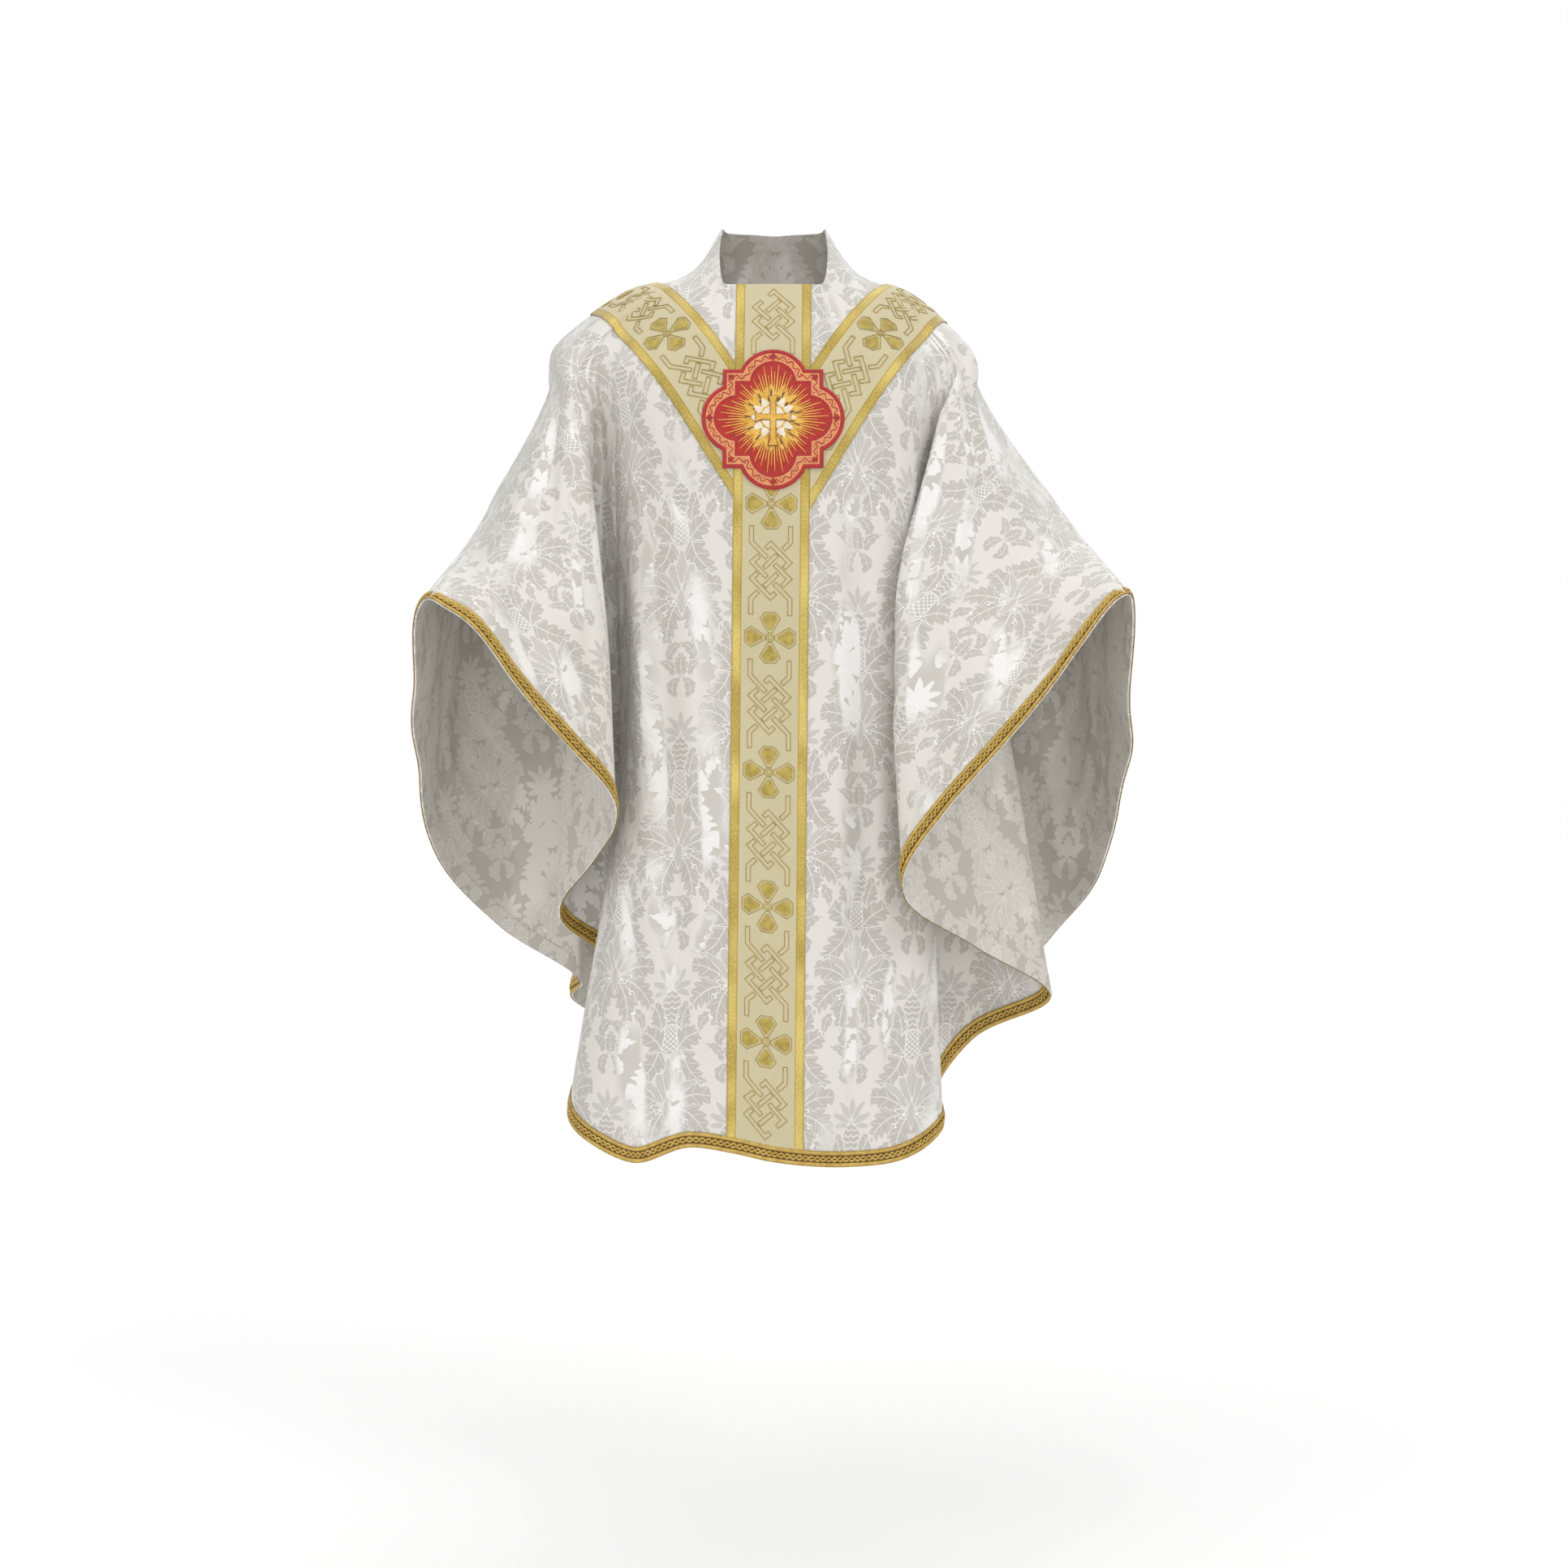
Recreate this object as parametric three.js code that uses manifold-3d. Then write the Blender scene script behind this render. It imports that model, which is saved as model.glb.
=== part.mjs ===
// A gothic chasuble of white damask, worn with both forearms held out in front.
// It has a front and a back panel sewn along the shoulders and the tops of the arms, a galloon column
// with two slanting arms on the front and on the back, an embroidered medallion on the chest, and a gold
// braid round the whole hem. Millimetres, +Z up, the front facing -Y. The origin is the centre of the
// neck opening at the height where the shoulders carry the cloth.

import * as THREE from "three";
import { mergeVertices } from "three/addons/utils/BufferGeometryUtils.js";
import Module from "manifold-3d";

const wasm = await Module();
wasm.setup();

// Driving dimensions
const CLOTH = 2.0; // wall of the damask panels with their turned hem
const GAP = 0.3; // between sewn pieces
const GALLOON = 1.0; // wall of the woven orphrey bands
const GALLOON_WIDTH = 98;
const BRAID = 2.2; // wall of the hem braid
const BRAID_WIDTH = 20;
const MEDALLION = 2.4; // wall of the embroidered medallion
const MEDALLION_SPAN = 184; // tip to tip of its four lobes
const CELL_WIDTH = 36; // a panel column's width at the hem
const ROW_SHARES = [0, 0.05, 0.09, 0.13, 0.2, 0.27, 0.35, 0.44, 0.54, 0.65, 0.76, 0.88, 1];

// Each fold line runs from the neck edge over the shoulder's crest and the yoke down to the hem.
const KNOTS = { neck: 0, base: 0.05, crest: 0.13, yoke: 0.2, drop: 0.3, middle: 0.6, hem: 1 };
const CREST_SHARE = 0.53; // of the way from base to yoke
const DROP_SHARE = { x: 0.12, y: 0.25, z: 0.25 }; // of the way from yoke to middle: hangs first, then spreads

// The neck edge, and the base line where the cloth turns up beside the neck, on the +X side.
// `at` counts from the centre front (0) over the shoulder seam (1) to the centre back (2). `rise` lifts
// the crest of the shoulder above the straight way from base to yoke.
const NECK = [
  { name: "frontCentre", at: 0, edge: [0, -105, -45], base: [0, -122, -85], rise: 0 },
  { name: "frontColumn", at: 0.3, edge: [49, -103, -45], base: [50, -121, -85], rise: 1 },
  { name: "frontCorner", at: 0.45, edge: [64, -96, -42], base: [72, -116, -80], rise: 4 },
  { name: "sideFront", at: 0.7, edge: [72, -45, 0], base: [98, -62, -32], rise: 11 },
  { name: "side", at: 1, edge: [71, 15, 50], base: [103, 5, -3], rise: 18 },
  { name: "backCorner", at: 1.5, edge: [60, 70, 62], base: [92, 88, 22], rise: 10 },
  { name: "backCentre", at: 2, edge: [0, 85, 62], base: [0, 104, 28], rise: 4 },
];

// Fold lines of the front, from the centre to the shoulder seam. `bend` moves the point halfway between
// yoke and hem off the straight line, and `spread` stands in for the drop's share along x.
const FRONT_CENTRE = { name: "centre", neck: 0, yoke: [0, -166, -236], hem: [-8, -190, -1178] };
const FRONT_RIGHT = [
  { name: "column", neck: 0.3, yoke: [50, -165, -234], hem: [36, -190, -1184] },
  { name: "chest", neck: 0.45, yoke: [96, -162, -213], hem: [96, -180, -1188] },
  { name: "breast", neck: 0.55, yoke: [144, -148, -179], hem: [159, -165, -1182] },
  { name: "corner", neck: 0.62, yoke: [176, -128, -160], hem: [218, -110, -1151] },
  { name: "side", neck: 0.67, yoke: [198, -104, -147], hem: [217, -25, -1112] },
  { name: "hollow", neck: 0.72, yoke: [212, -87, -140], hem: [271, 0, -1042] },
  { name: "wing", neck: 0.76, yoke: [222, -80, -137], hem: [368, -45, -988] },
  { name: "lapel", neck: 0.8, yoke: [231, -79, -136], hem: [259, -150, -907] },
  {
    name: "drop", neck: 0.84, yoke: [240, -80, -135],
    hem: [159, -250, -820], bend: [-42, -12, 0], spread: 0.25,
  },
  {
    name: "sleeveLow", neck: 0.88, yoke: [250, -72, -132],
    hem: [214, -277, -733], bend: [-8, -5, 0], spread: 0.3,
  },
  { name: "sleeveMid", neck: 0.92, yoke: [257, -60, -126], hem: [287, -300, -648], bend: [4, 20, -24] },
  { name: "sleeveHigh", neck: 0.96, yoke: [261, -34, -115], hem: [378, -308, -531], bend: [18, 60, -34] },
];
const SEAM_RIGHT = {
  name: "seam",
  neck: 1,
  yoke: [260, 0, -103],
  hem: [437, -288, -465],
  bend: [36, 150, -38],
};
const FRONT_LEFT = [
  { name: "column", neck: 0.3, yoke: [-50, -165, -234], hem: [-51, -192, -1168] },
  { name: "chest", neck: 0.45, yoke: [-97, -162, -213], hem: [-106, -182, -1162] },
  { name: "breast", neck: 0.53, yoke: [-144, -148, -179], hem: [-177, -178, -1183] },
  { name: "corner", neck: 0.59, yoke: [-174, -130, -160], hem: [-235, -150, -1161], bend: [20, 0, 0] },
  { name: "edge", neck: 0.64, yoke: [-196, -112, -148], hem: [-267, -100, -1133], bend: [38, 0, 0] },
  { name: "tuck", neck: 0.68, yoke: [-208, -97, -143], hem: [-249, -40, -1088], bend: [30, 0, 0] },
  { name: "hollow", neck: 0.72, yoke: [-217, -86, -138], hem: [-198, -18, -1010], bend: [8, 0, 0] },
  { name: "behind", neck: 0.75, yoke: [-225, -80, -135], hem: [-226, 18, -938] },
  { name: "wing", neck: 0.78, yoke: [-233, -77, -133], hem: [-284, -45, -881], bend: [-10, 0, 0] },
  { name: "lapel", neck: 0.81, yoke: [-241, -78, -132], hem: [-235, -150, -800] },
  { name: "drop", neck: 0.84, yoke: [-249, -82, -132], hem: [-197, -245, -718] },
  { name: "sleeveLow", neck: 0.88, yoke: [-260, -77, -130], hem: [-253, -280, -651] },
  { name: "sleeveMid", neck: 0.92, yoke: [-271, -60, -123], hem: [-321, -300, -572], bend: [-4, 20, -24] },
  {
    name: "sleeveHigh", neck: 0.96, yoke: [-281, -34, -113],
    hem: [-383, -306, -491], bend: [-14, 60, -34],
  },
];
const SEAM_LEFT = {
  name: "seam",
  neck: 1,
  yoke: [-287, 0, -100],
  hem: [-425, -285, -470],
  bend: [-26, 150, -38],
};

// Fold lines of the back, from the shoulder seam to the centre
const BACK_RIGHT = [
  { name: "forearm", neck: 1.06, yoke: [263, 26, -102], hem: [451, -215, -580], bend: [20, 155, -10] },
  { name: "elbow", neck: 1.12, yoke: [263, 48, -104], hem: [463, -50, -716], bend: [34, 85, -34] },
  { name: "outer", neck: 1.18, yoke: [259, 68, -104], hem: [442, 45, -828], bend: [34, 50, -30] },
  { name: "flank", neck: 1.25, yoke: [251, 85, -106], hem: [383, 100, -917], bend: [22, 27, -10] },
  { name: "turn", neck: 1.31, yoke: [242, 92, -105], hem: [337, 96, -969] },
  { name: "tuck", neck: 1.38, yoke: [229, 98, -103], hem: [350, 145, -1004] },
  { name: "blade", neck: 1.5, yoke: [200, 108, -102], hem: [274, 185, -1058] },
  { name: "rib", neck: 1.62, yoke: [155, 115, -100], hem: [180, 165, -1085] },
  { name: "spine", neck: 1.8, yoke: [76, 120, -100], hem: [89, 205, -1103] },
];
const BACK_CENTRE = { name: "centre", neck: 2, yoke: [-1, 122, -99], hem: [-5, 195, -1109] };
const BACK_LEFT = [
  { name: "forearm", neck: 1.06, yoke: [-292, 26, -102], hem: [-451, -215, -580], bend: [-20, 155, -10] },
  { name: "elbow", neck: 1.12, yoke: [-292, 48, -104], hem: [-467, -50, -720], bend: [-34, 85, -34] },
  { name: "outer", neck: 1.18, yoke: [-288, 68, -104], hem: [-451, 40, -815], bend: [-34, 50, -30] },
  { name: "flank", neck: 1.25, yoke: [-279, 85, -106], hem: [-378, 82, -898], bend: [-15, 25, -10] },
  { name: "turn", neck: 1.31, yoke: [-271, 92, -105], hem: [-265, 62, -974] },
  { name: "tuck", neck: 1.38, yoke: [-255, 98, -103], hem: [-287, 116, -995] },
  { name: "blade", neck: 1.5, yoke: [-209, 108, -102], hem: [-213, 180, -1049] },
  { name: "rib", neck: 1.62, yoke: [-164, 115, -100], hem: [-155, 165, -1085] },
  { name: "spine", neck: 1.8, yoke: [-84, 120, -100], hem: [-87, 205, -1106] },
];

// Outlines of the galloon bands in the front view, [x, z]
const COLUMN_FRONT = { top: [1, -20], bottom: [-11, -1230] };
const COLUMN_BACK = { top: [0, 90], bottom: [-4, -1150] };
const FRONT_ARM = {
  outer: [[251, -28], [230, -55], [165, -145], [49, -322]],
  inner: [[167, 3], [146, -24], [76, -116], [48, -159]],
};
const BACK_ARM = {
  outer: [[251, -28], [230, -55], [160, -170], [46, -340]],
  inner: [[167, 3], [146, -24], [80, -110], [44, -176]],
};
const MEDALLION_CENTRE = [0, -230];

const COLOURS = {
  damask: { color: 0xe9e6e0, roughness: 0.55, metalness: 0 },
  galloon: { color: 0xcdbf9c, roughness: 0.6, metalness: 0 },
  braid: { color: 0xc39a3c, roughness: 0.45, metalness: 0.3 },
  embroidery: { color: 0xb3282a, roughness: 0.6, metalness: 0 },
};

const vector = ([x, y, z]) => new THREE.Vector3(x, y, z);
const last = (list) => list[list.length - 1];

// Smooth curve through points at rising knots, evaluated at t. Each tangent is that of the parabola
// through a point and its two neighbours.
function splineAt(points, knots, t) {
  const n = points.length;
  let i = 0;
  while (i < n - 2 && t > knots[i + 1]) i += 1;
  const slope = (k) => points[k + 1].clone().sub(points[k]).divideScalar(knots[k + 1] - knots[k]);
  const tangent = (k) => {
    if (k === 0) return slope(0);
    if (k === n - 1) return slope(n - 2);
    const share = (knots[k] - knots[k - 1]) / (knots[k + 1] - knots[k - 1]);
    return slope(k - 1).lerp(slope(k), share);
  };
  const span = knots[i + 1] - knots[i];
  const s = (t - knots[i]) / span;
  const s2 = s * s;
  const s3 = s2 * s;
  return points[i]
    .clone()
    .multiplyScalar(2 * s3 - 3 * s2 + 1)
    .addScaledVector(tangent(i), (s3 - 2 * s2 + s) * span)
    .addScaledVector(points[i + 1], 3 * s2 - 2 * s3)
    .addScaledVector(tangent(i + 1), (s3 - s2) * span);
}

// A column of the neck table at a place round the neck, mirrored to the side asked for
function neckValue(read, at, side) {
  const value = splineAt(NECK.map(read), NECK.map((row) => row.at), at);
  value.x *= side;
  return value;
}

// The knots of a fold line
function foldLine({ neck, yoke: yokeAt, hem: hemAt, bend = [0, 0, 0], spread = DROP_SHARE.x }) {
  const side = yokeAt[0] < 0 ? -1 : 1;
  const edge = neckValue((row) => vector(row.edge), neck, side);
  const base = neckValue((row) => vector(row.base), neck, side);
  const rise = neckValue((row) => new THREE.Vector3(0, 0, row.rise), neck, side);
  const yoke = vector(yokeAt);
  const hem = vector(hemAt);
  const crest = base.clone().lerp(yoke, CREST_SHARE).add(rise);
  const middle = yoke.clone().lerp(hem, 0.5).add(vector(bend));
  const share = new THREE.Vector3(spread, DROP_SHARE.y, DROP_SHARE.z);
  const drop = middle.clone().sub(yoke).multiply(share).add(yoke);
  return [edge, base, crest, yoke, drop, middle, hem];
}

// The closed ring of fold lines: left seam, front, right seam, back, and the left seam again
const FRONT_LINES = [SEAM_LEFT, ...FRONT_LEFT.toReversed(), FRONT_CENTRE, ...FRONT_RIGHT];
const BACK_LINES = [SEAM_RIGHT, ...BACK_RIGHT, BACK_CENTRE, ...BACK_LEFT.toReversed()];
const RING = [...FRONT_LINES, ...BACK_LINES].map(foldLine);
const RING_KNOTS = RING.reduce(
  (knots, line, i) => [...knots, last(knots) + last(line).distanceTo(last(RING[(i + 1) % RING.length]))],
  [0],
);
const SEAM_RIGHT_AT = RING_KNOTS[FRONT_LINES.length];
const RING_LENGTH = last(RING_KNOTS);

// Point of the cloth's middle surface: u in hem millimetres round the ring, v from neck (0) to hem (1)
const lineKnots = Object.values(KNOTS);
function cloth(u, v) {
  const lines = RING.map((line) => splineAt(line, lineKnots, v));
  const overlap = 2; // lines repeated past each end, so that the ring closes smoothly
  const points = [...lines.slice(-overlap), ...lines, ...lines.slice(0, overlap + 1)];
  const knots = [
    ...RING_KNOTS.slice(-1 - overlap, -1).map((k) => k - RING_LENGTH),
    ...RING_KNOTS,
    ...RING_KNOTS.slice(1, overlap + 1).map((k) => k + RING_LENGTH),
  ];
  return splineAt(points, knots, u);
}

// Columns of a panel from one seam to the other: whole cells between neighbouring fold lines
function panelColumns(from, to) {
  const stops = RING_KNOTS.filter((k) => k >= from && k <= to);
  const columns = [];
  for (let i = 0; i < stops.length - 1; i += 1) {
    const cells = Math.max(1, Math.round((stops[i + 1] - stops[i]) / CELL_WIDTH));
    for (let c = 0; c < cells; c += 1) columns.push(stops[i] + ((stops[i + 1] - stops[i]) * c) / cells);
  }
  columns.push(to);
  return columns;
}

// A panel as rows of points with normals. Its last row but one lies a braid's width above the hem, and
// its two seam columns stand back from the seam by half the gap.
function panelGrid(from, to) {
  const step = 0.01;
  return panelColumns(from, to).map((u) => {
    const nearHem = cloth(u, 1 - step).distanceTo(cloth(u, 1)) / step;
    const braidAt = 1 - BRAID_WIDTH / nearHem;
    const inward = u === from ? 1 : u === to ? -1 : 0;
    return [...ROW_SHARES.map((share) => share * braidAt), 1].map((v) => {
      const along = cloth(u + 1, v).sub(cloth(u - 1, v));
      const down = cloth(u, Math.min(v + step, 1)).sub(cloth(u, Math.max(v - step, 0))).normalize();
      const normal = down.clone().cross(along).normalize();
      const across = normal.clone().cross(down);
      return { point: cloth(u, v).addScaledVector(across, (inward * GAP) / 2), normal };
    });
  });
}

// Closed wall over a grid of points, from `low` to `high` along the normals
function wall(grid, low, high) {
  const rows = grid[0].length;
  const moved = (offset) => (at) => at.point.clone().addScaledVector(at.normal, offset);
  const skin = (offset) => grid.flat().map(moved(offset));
  const points = [...skin(low), ...skin(high)];
  const outer = grid.length * rows;
  const at = (i, j) => i * rows + j;
  const index = [];
  const quad = (a, b, c, d) => index.push(a, b, c, a, c, d);
  for (let i = 0; i < grid.length - 1; i += 1) {
    for (let j = 0; j < rows - 1; j += 1) {
      quad(at(i, j), at(i + 1, j), at(i + 1, j + 1), at(i, j + 1));
      quad(outer + at(i, j), outer + at(i, j + 1), outer + at(i + 1, j + 1), outer + at(i + 1, j));
    }
    quad(at(i + 1, 0), at(i, 0), outer + at(i, 0), outer + at(i + 1, 0));
    quad(at(i, rows - 1), at(i + 1, rows - 1), outer + at(i + 1, rows - 1), outer + at(i, rows - 1));
  }
  const end = grid.length - 1;
  for (let j = 0; j < rows - 1; j += 1) {
    quad(at(0, j), at(0, j + 1), outer + at(0, j + 1), outer + at(0, j));
    quad(at(end, j + 1), at(end, j), outer + at(end, j), outer + at(end, j + 1));
  }
  const geometry = new THREE.BufferGeometry().setFromPoints(points);
  geometry.setIndex(index);
  return geometry;
}

// Between three.js geometry and manifold-3d solids
function toSolid(geometry) {
  const bare = geometry.clone();
  bare.deleteAttribute("normal");
  bare.deleteAttribute("uv");
  const merged = mergeVertices(bare, 1e-3);
  return new wasm.Manifold(
    new wasm.Mesh({
      numProp: 3,
      vertProperties: new Float32Array(merged.attributes.position.array),
      triVerts: new Uint32Array(merged.index.array),
    }),
  );
}

function toGeometry(solid) {
  const { vertProperties, triVerts } = solid.getMesh();
  const geometry = new THREE.BufferGeometry();
  geometry.setAttribute("position", new THREE.BufferAttribute(vertProperties, 3));
  geometry.setIndex(new THREE.BufferAttribute(triVerts, 1));
  return geometry;
}

// Prism along Y with an outline in the front view, from one depth to another
function prism(outline, nearY, farY) {
  const points = (list) => list.map(([x, z]) => new THREE.Vector2(x, z));
  const shape = outline instanceof THREE.Shape ? outline : new THREE.Shape(points(outline));
  const options = { depth: farY - nearY, bevelEnabled: false, curveSegments: 8 };
  const geometry = new THREE.ExtrudeGeometry(shape, options);
  geometry.rotateX(Math.PI / 2);
  geometry.translate(0, farY, 0);
  return toSolid(geometry);
}

// Outline of a column band, wider than the band by `extra` on each side
function columnOutline({ top, bottom }, extra = 0) {
  const half = GALLOON_WIDTH / 2 + extra;
  return [
    [top[0] - half, top[1]],
    [bottom[0] - half, bottom[1]],
    [bottom[0] + half, bottom[1]],
    [top[0] + half, top[1]],
  ];
}

// Barbed quatrefoil: four round lobes with a square corner between each two
function quatrefoil([cx, cz], span) {
  const lobe = span * 0.249; // radius of a lobe
  const reach = span / 2 - lobe; // from the centre to a lobe's centre
  const corner = span * 0.352; // from the centre to a square corner, along x and z
  const cut = Math.acos((corner - reach) / lobe); // where a lobe meets the corner's side
  const side = Math.sin(cut) * lobe;
  const shape = new THREE.Shape();
  for (const turn of [0, 1, 2, 3].map((quarter) => (quarter * Math.PI) / 2)) {
    const ux = Math.cos(turn);
    const uz = Math.sin(turn);
    const start = [cx + ux * corner + uz * side, cz + uz * corner - ux * side];
    if (turn === 0) shape.moveTo(...start);
    else shape.lineTo(...start);
    shape.absarc(cx + ux * reach, cz + uz * reach, lobe, turn - cut, turn + cut, false);
    shape.lineTo(cx + (ux - uz) * corner, cz + (uz + ux) * corner);
  }
  shape.closePath();
  return shape;
}

const chasuble = new THREE.Group();
function addPiece(name, finish, geometry) {
  const mesh = new THREE.Mesh(geometry, new THREE.MeshStandardMaterial(COLOURS[finish]));
  mesh.name = name;
  chasuble.add(mesh);
}

const DEEP = 600; // reaches past the cloth in any direction
const sides = {
  front: { grid: panelGrid(0, SEAM_RIGHT_AT), near: -DEEP, far: 0 },
  back: { grid: panelGrid(SEAM_RIGHT_AT, RING_LENGTH), near: 0, far: DEEP },
};
const skinAt = CLOTH / 2 + GAP; // where a band's underside lies over the middle surface

// A panel's grid down to a gap above the braid
function aboveBraid(grid) {
  return grid.map((column) => {
    const [above, edge] = column.slice(-3, -1);
    const back = above.point.clone().sub(edge.point).setLength(GAP);
    return [...column.slice(0, -2), { point: edge.point.clone().add(back), normal: edge.normal }];
  });
}

// A band: the part of an outward offset of the panel that lies inside a front-view outline
function band(side, outline, cutters = [], low = skinAt, thickness = GALLOON) {
  const { grid, near, far } = sides[side];
  let solid = toSolid(wall(aboveBraid(grid), low, low + thickness)).intersect(prism(outline, near, far));
  for (const cutter of cutters) solid = solid.subtract(prism(cutter, near, far));
  solid = solid.subtract(toSolid(wall(grid, -CLOTH / 2, CLOTH / 2 + GAP / 2)));
  const pieces = solid.decompose().sort((a, b) => b.volume() - a.volume());
  return toGeometry(pieces[0]);
}

for (const [side, { grid }] of Object.entries(sides)) {
  addPiece(side + "_panel", "damask", wall(grid, -CLOTH / 2, CLOTH / 2));
  const hemRows = grid.map((column) => column.slice(-2));
  addPiece(side + "_braid", "braid", wall(hemRows, skinAt, skinAt + BRAID));
}

// A slanting arm of galloon, on the +X side or mirrored
function armOutline({ outer, inner }, side) {
  return [...outer, ...inner.toReversed()].map(([x, z]) => [x * side, z]);
}

for (const [side, column, arm] of [
  ["front", COLUMN_FRONT, FRONT_ARM],
  ["back", COLUMN_BACK, BACK_ARM],
]) {
  addPiece(side + "_column", "galloon", band(side, columnOutline(column)));
  const clear = [columnOutline(column, GAP)];
  addPiece(side + "_arm_right", "galloon", band(side, armOutline(arm, 1), clear));
  addPiece(side + "_arm_left", "galloon", band(side, armOutline(arm, -1), clear));
}

const overGalloon = skinAt + GALLOON + GAP;
const medallion = quatrefoil(MEDALLION_CENTRE, MEDALLION_SPAN);
addPiece("medallion", "embroidery", band("front", medallion, [], overGalloon, MEDALLION));

export default chasuble;
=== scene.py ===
import math

import bpy
import numpy as np
from mathutils import Matrix, Vector
from mathutils.bvhtree import BVHTree


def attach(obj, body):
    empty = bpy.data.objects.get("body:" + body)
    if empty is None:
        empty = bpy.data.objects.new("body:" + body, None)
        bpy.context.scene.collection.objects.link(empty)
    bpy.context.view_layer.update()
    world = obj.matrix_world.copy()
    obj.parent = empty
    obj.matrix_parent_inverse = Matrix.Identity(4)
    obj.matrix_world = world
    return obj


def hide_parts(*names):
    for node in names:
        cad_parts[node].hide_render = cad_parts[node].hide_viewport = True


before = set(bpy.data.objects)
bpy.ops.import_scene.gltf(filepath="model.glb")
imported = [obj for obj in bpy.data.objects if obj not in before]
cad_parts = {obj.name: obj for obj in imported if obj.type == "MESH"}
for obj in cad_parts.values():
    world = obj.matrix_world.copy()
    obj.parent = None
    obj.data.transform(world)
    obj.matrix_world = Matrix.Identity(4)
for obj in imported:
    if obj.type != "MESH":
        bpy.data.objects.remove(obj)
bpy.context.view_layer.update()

MM = 0.001

# ---------------------------------------------------------------- camera
PHOTO_WIDTH = 1932
FOCAL_PIXELS = 2913
CAMERA_PLACE = np.array([0.014, -3.2, -0.699])
SENSOR = 36.0


def sight(px, py):
    """Direction in which the camera sees a place of the photograph."""
    half = PHOTO_WIDTH / 2
    way = np.array([(px - half) / FOCAL_PIXELS, 1.0, -(py - half) / FOCAL_PIXELS])
    return way / np.linalg.norm(way)


def put(name, data):
    """A new object in the scene, at the origin."""
    thing = bpy.data.objects.new(name, data)
    bpy.context.scene.collection.objects.link(thing)
    return thing


def set_camera():
    data = bpy.data.cameras.new("camera")
    data.sensor_width = SENSOR
    data.lens = FOCAL_PIXELS / PHOTO_WIDTH * SENSOR
    camera = put("camera", data)
    camera.location = CAMERA_PLACE
    camera.rotation_euler = (math.radians(90), 0, 0)
    bpy.context.scene.camera = camera


set_camera()

# ---------------------------------------------------------------- the worn cloth
# The same fold lines as in the part's source, in millimetres: place round the neck, yoke, hem, and
# where they depart from the straight way, the bend halfway down and the spread below the yoke.
NECK_AT = [0, 0.3, 0.45, 0.7, 1, 1.5, 2]
NECK_EDGE = [
    [0, -105, -45], [49, -103, -45], [64, -96, -42], [72, -45, 0], [71, 15, 50], [60, 70, 62], [0, 85, 62],
]
NECK_BASE = [
    [0, -122, -85], [50, -121, -85], [72, -116, -80], [98, -62, -32], [103, 5, -3], [92, 88, 22], [0, 104, 28],
]
NECK_RISE = [0, 1, 4, 11, 18, 10, 4]
LINE_KNOTS = [0, 0.05, 0.13, 0.2, 0.3, 0.6, 1]
CREST_SHARE = 0.53
SPREAD = 0.12
DROP = 0.25

FRONT_CENTRE = [(0, (0, -166, -236), (-8, -190, -1178))]
FRONT_RIGHT = [
    (0.3, (50, -165, -234), (36, -190, -1184)),
    (0.45, (96, -162, -213), (96, -180, -1188)),
    (0.55, (144, -148, -179), (159, -165, -1182)),
    (0.62, (176, -128, -160), (218, -110, -1151)),
    (0.67, (198, -104, -147), (217, -25, -1112)),
    (0.72, (212, -87, -140), (271, 0, -1042)),
    (0.76, (222, -80, -137), (368, -45, -988)),
    (0.8, (231, -79, -136), (259, -150, -907)),
    (0.84, (240, -80, -135), (159, -250, -820), (-42, -12, 0), 0.25),
    (0.88, (250, -72, -132), (214, -277, -733), (-8, -5, 0), 0.3),
    (0.92, (257, -60, -126), (287, -300, -648), (4, 20, -24)),
    (0.96, (261, -34, -115), (378, -308, -531), (18, 60, -34)),
]
SEAM_RIGHT = [(1, (260, 0, -103), (437, -288, -465), (36, 150, -38))]
FRONT_LEFT = [
    (0.3, (-50, -165, -234), (-51, -192, -1168)),
    (0.45, (-97, -162, -213), (-106, -182, -1162)),
    (0.53, (-144, -148, -179), (-177, -178, -1183)),
    (0.59, (-174, -130, -160), (-235, -150, -1161), (20, 0, 0)),
    (0.64, (-196, -112, -148), (-267, -100, -1133), (38, 0, 0)),
    (0.68, (-208, -97, -143), (-249, -40, -1088), (30, 0, 0)),
    (0.72, (-217, -86, -138), (-198, -18, -1010), (8, 0, 0)),
    (0.75, (-225, -80, -135), (-226, 18, -938)),
    (0.78, (-233, -77, -133), (-284, -45, -881), (-10, 0, 0)),
    (0.81, (-241, -78, -132), (-235, -150, -800)),
    (0.84, (-249, -82, -132), (-197, -245, -718)),
    (0.88, (-260, -77, -130), (-253, -280, -651)),
    (0.92, (-271, -60, -123), (-321, -300, -572), (-4, 20, -24)),
    (0.96, (-281, -34, -113), (-383, -306, -491), (-14, 60, -34)),
]
SEAM_LEFT = [(1, (-287, 0, -100), (-425, -285, -470), (-26, 150, -38))]
BACK_RIGHT = [
    (1.06, (263, 26, -102), (451, -215, -580), (20, 155, -10)),
    (1.12, (263, 48, -104), (463, -50, -716), (34, 85, -34)),
    (1.18, (259, 68, -104), (442, 45, -828), (34, 50, -30)),
    (1.25, (251, 85, -106), (383, 100, -917), (22, 27, -10)),
    (1.31, (242, 92, -105), (337, 96, -969)),
    (1.38, (229, 98, -103), (350, 145, -1004)),
    (1.5, (200, 108, -102), (274, 185, -1058)),
    (1.62, (155, 115, -100), (180, 165, -1085)),
    (1.8, (76, 120, -100), (89, 205, -1103)),
]
BACK_CENTRE = [(2, (-1, 122, -99), (-5, 195, -1109))]
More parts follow.
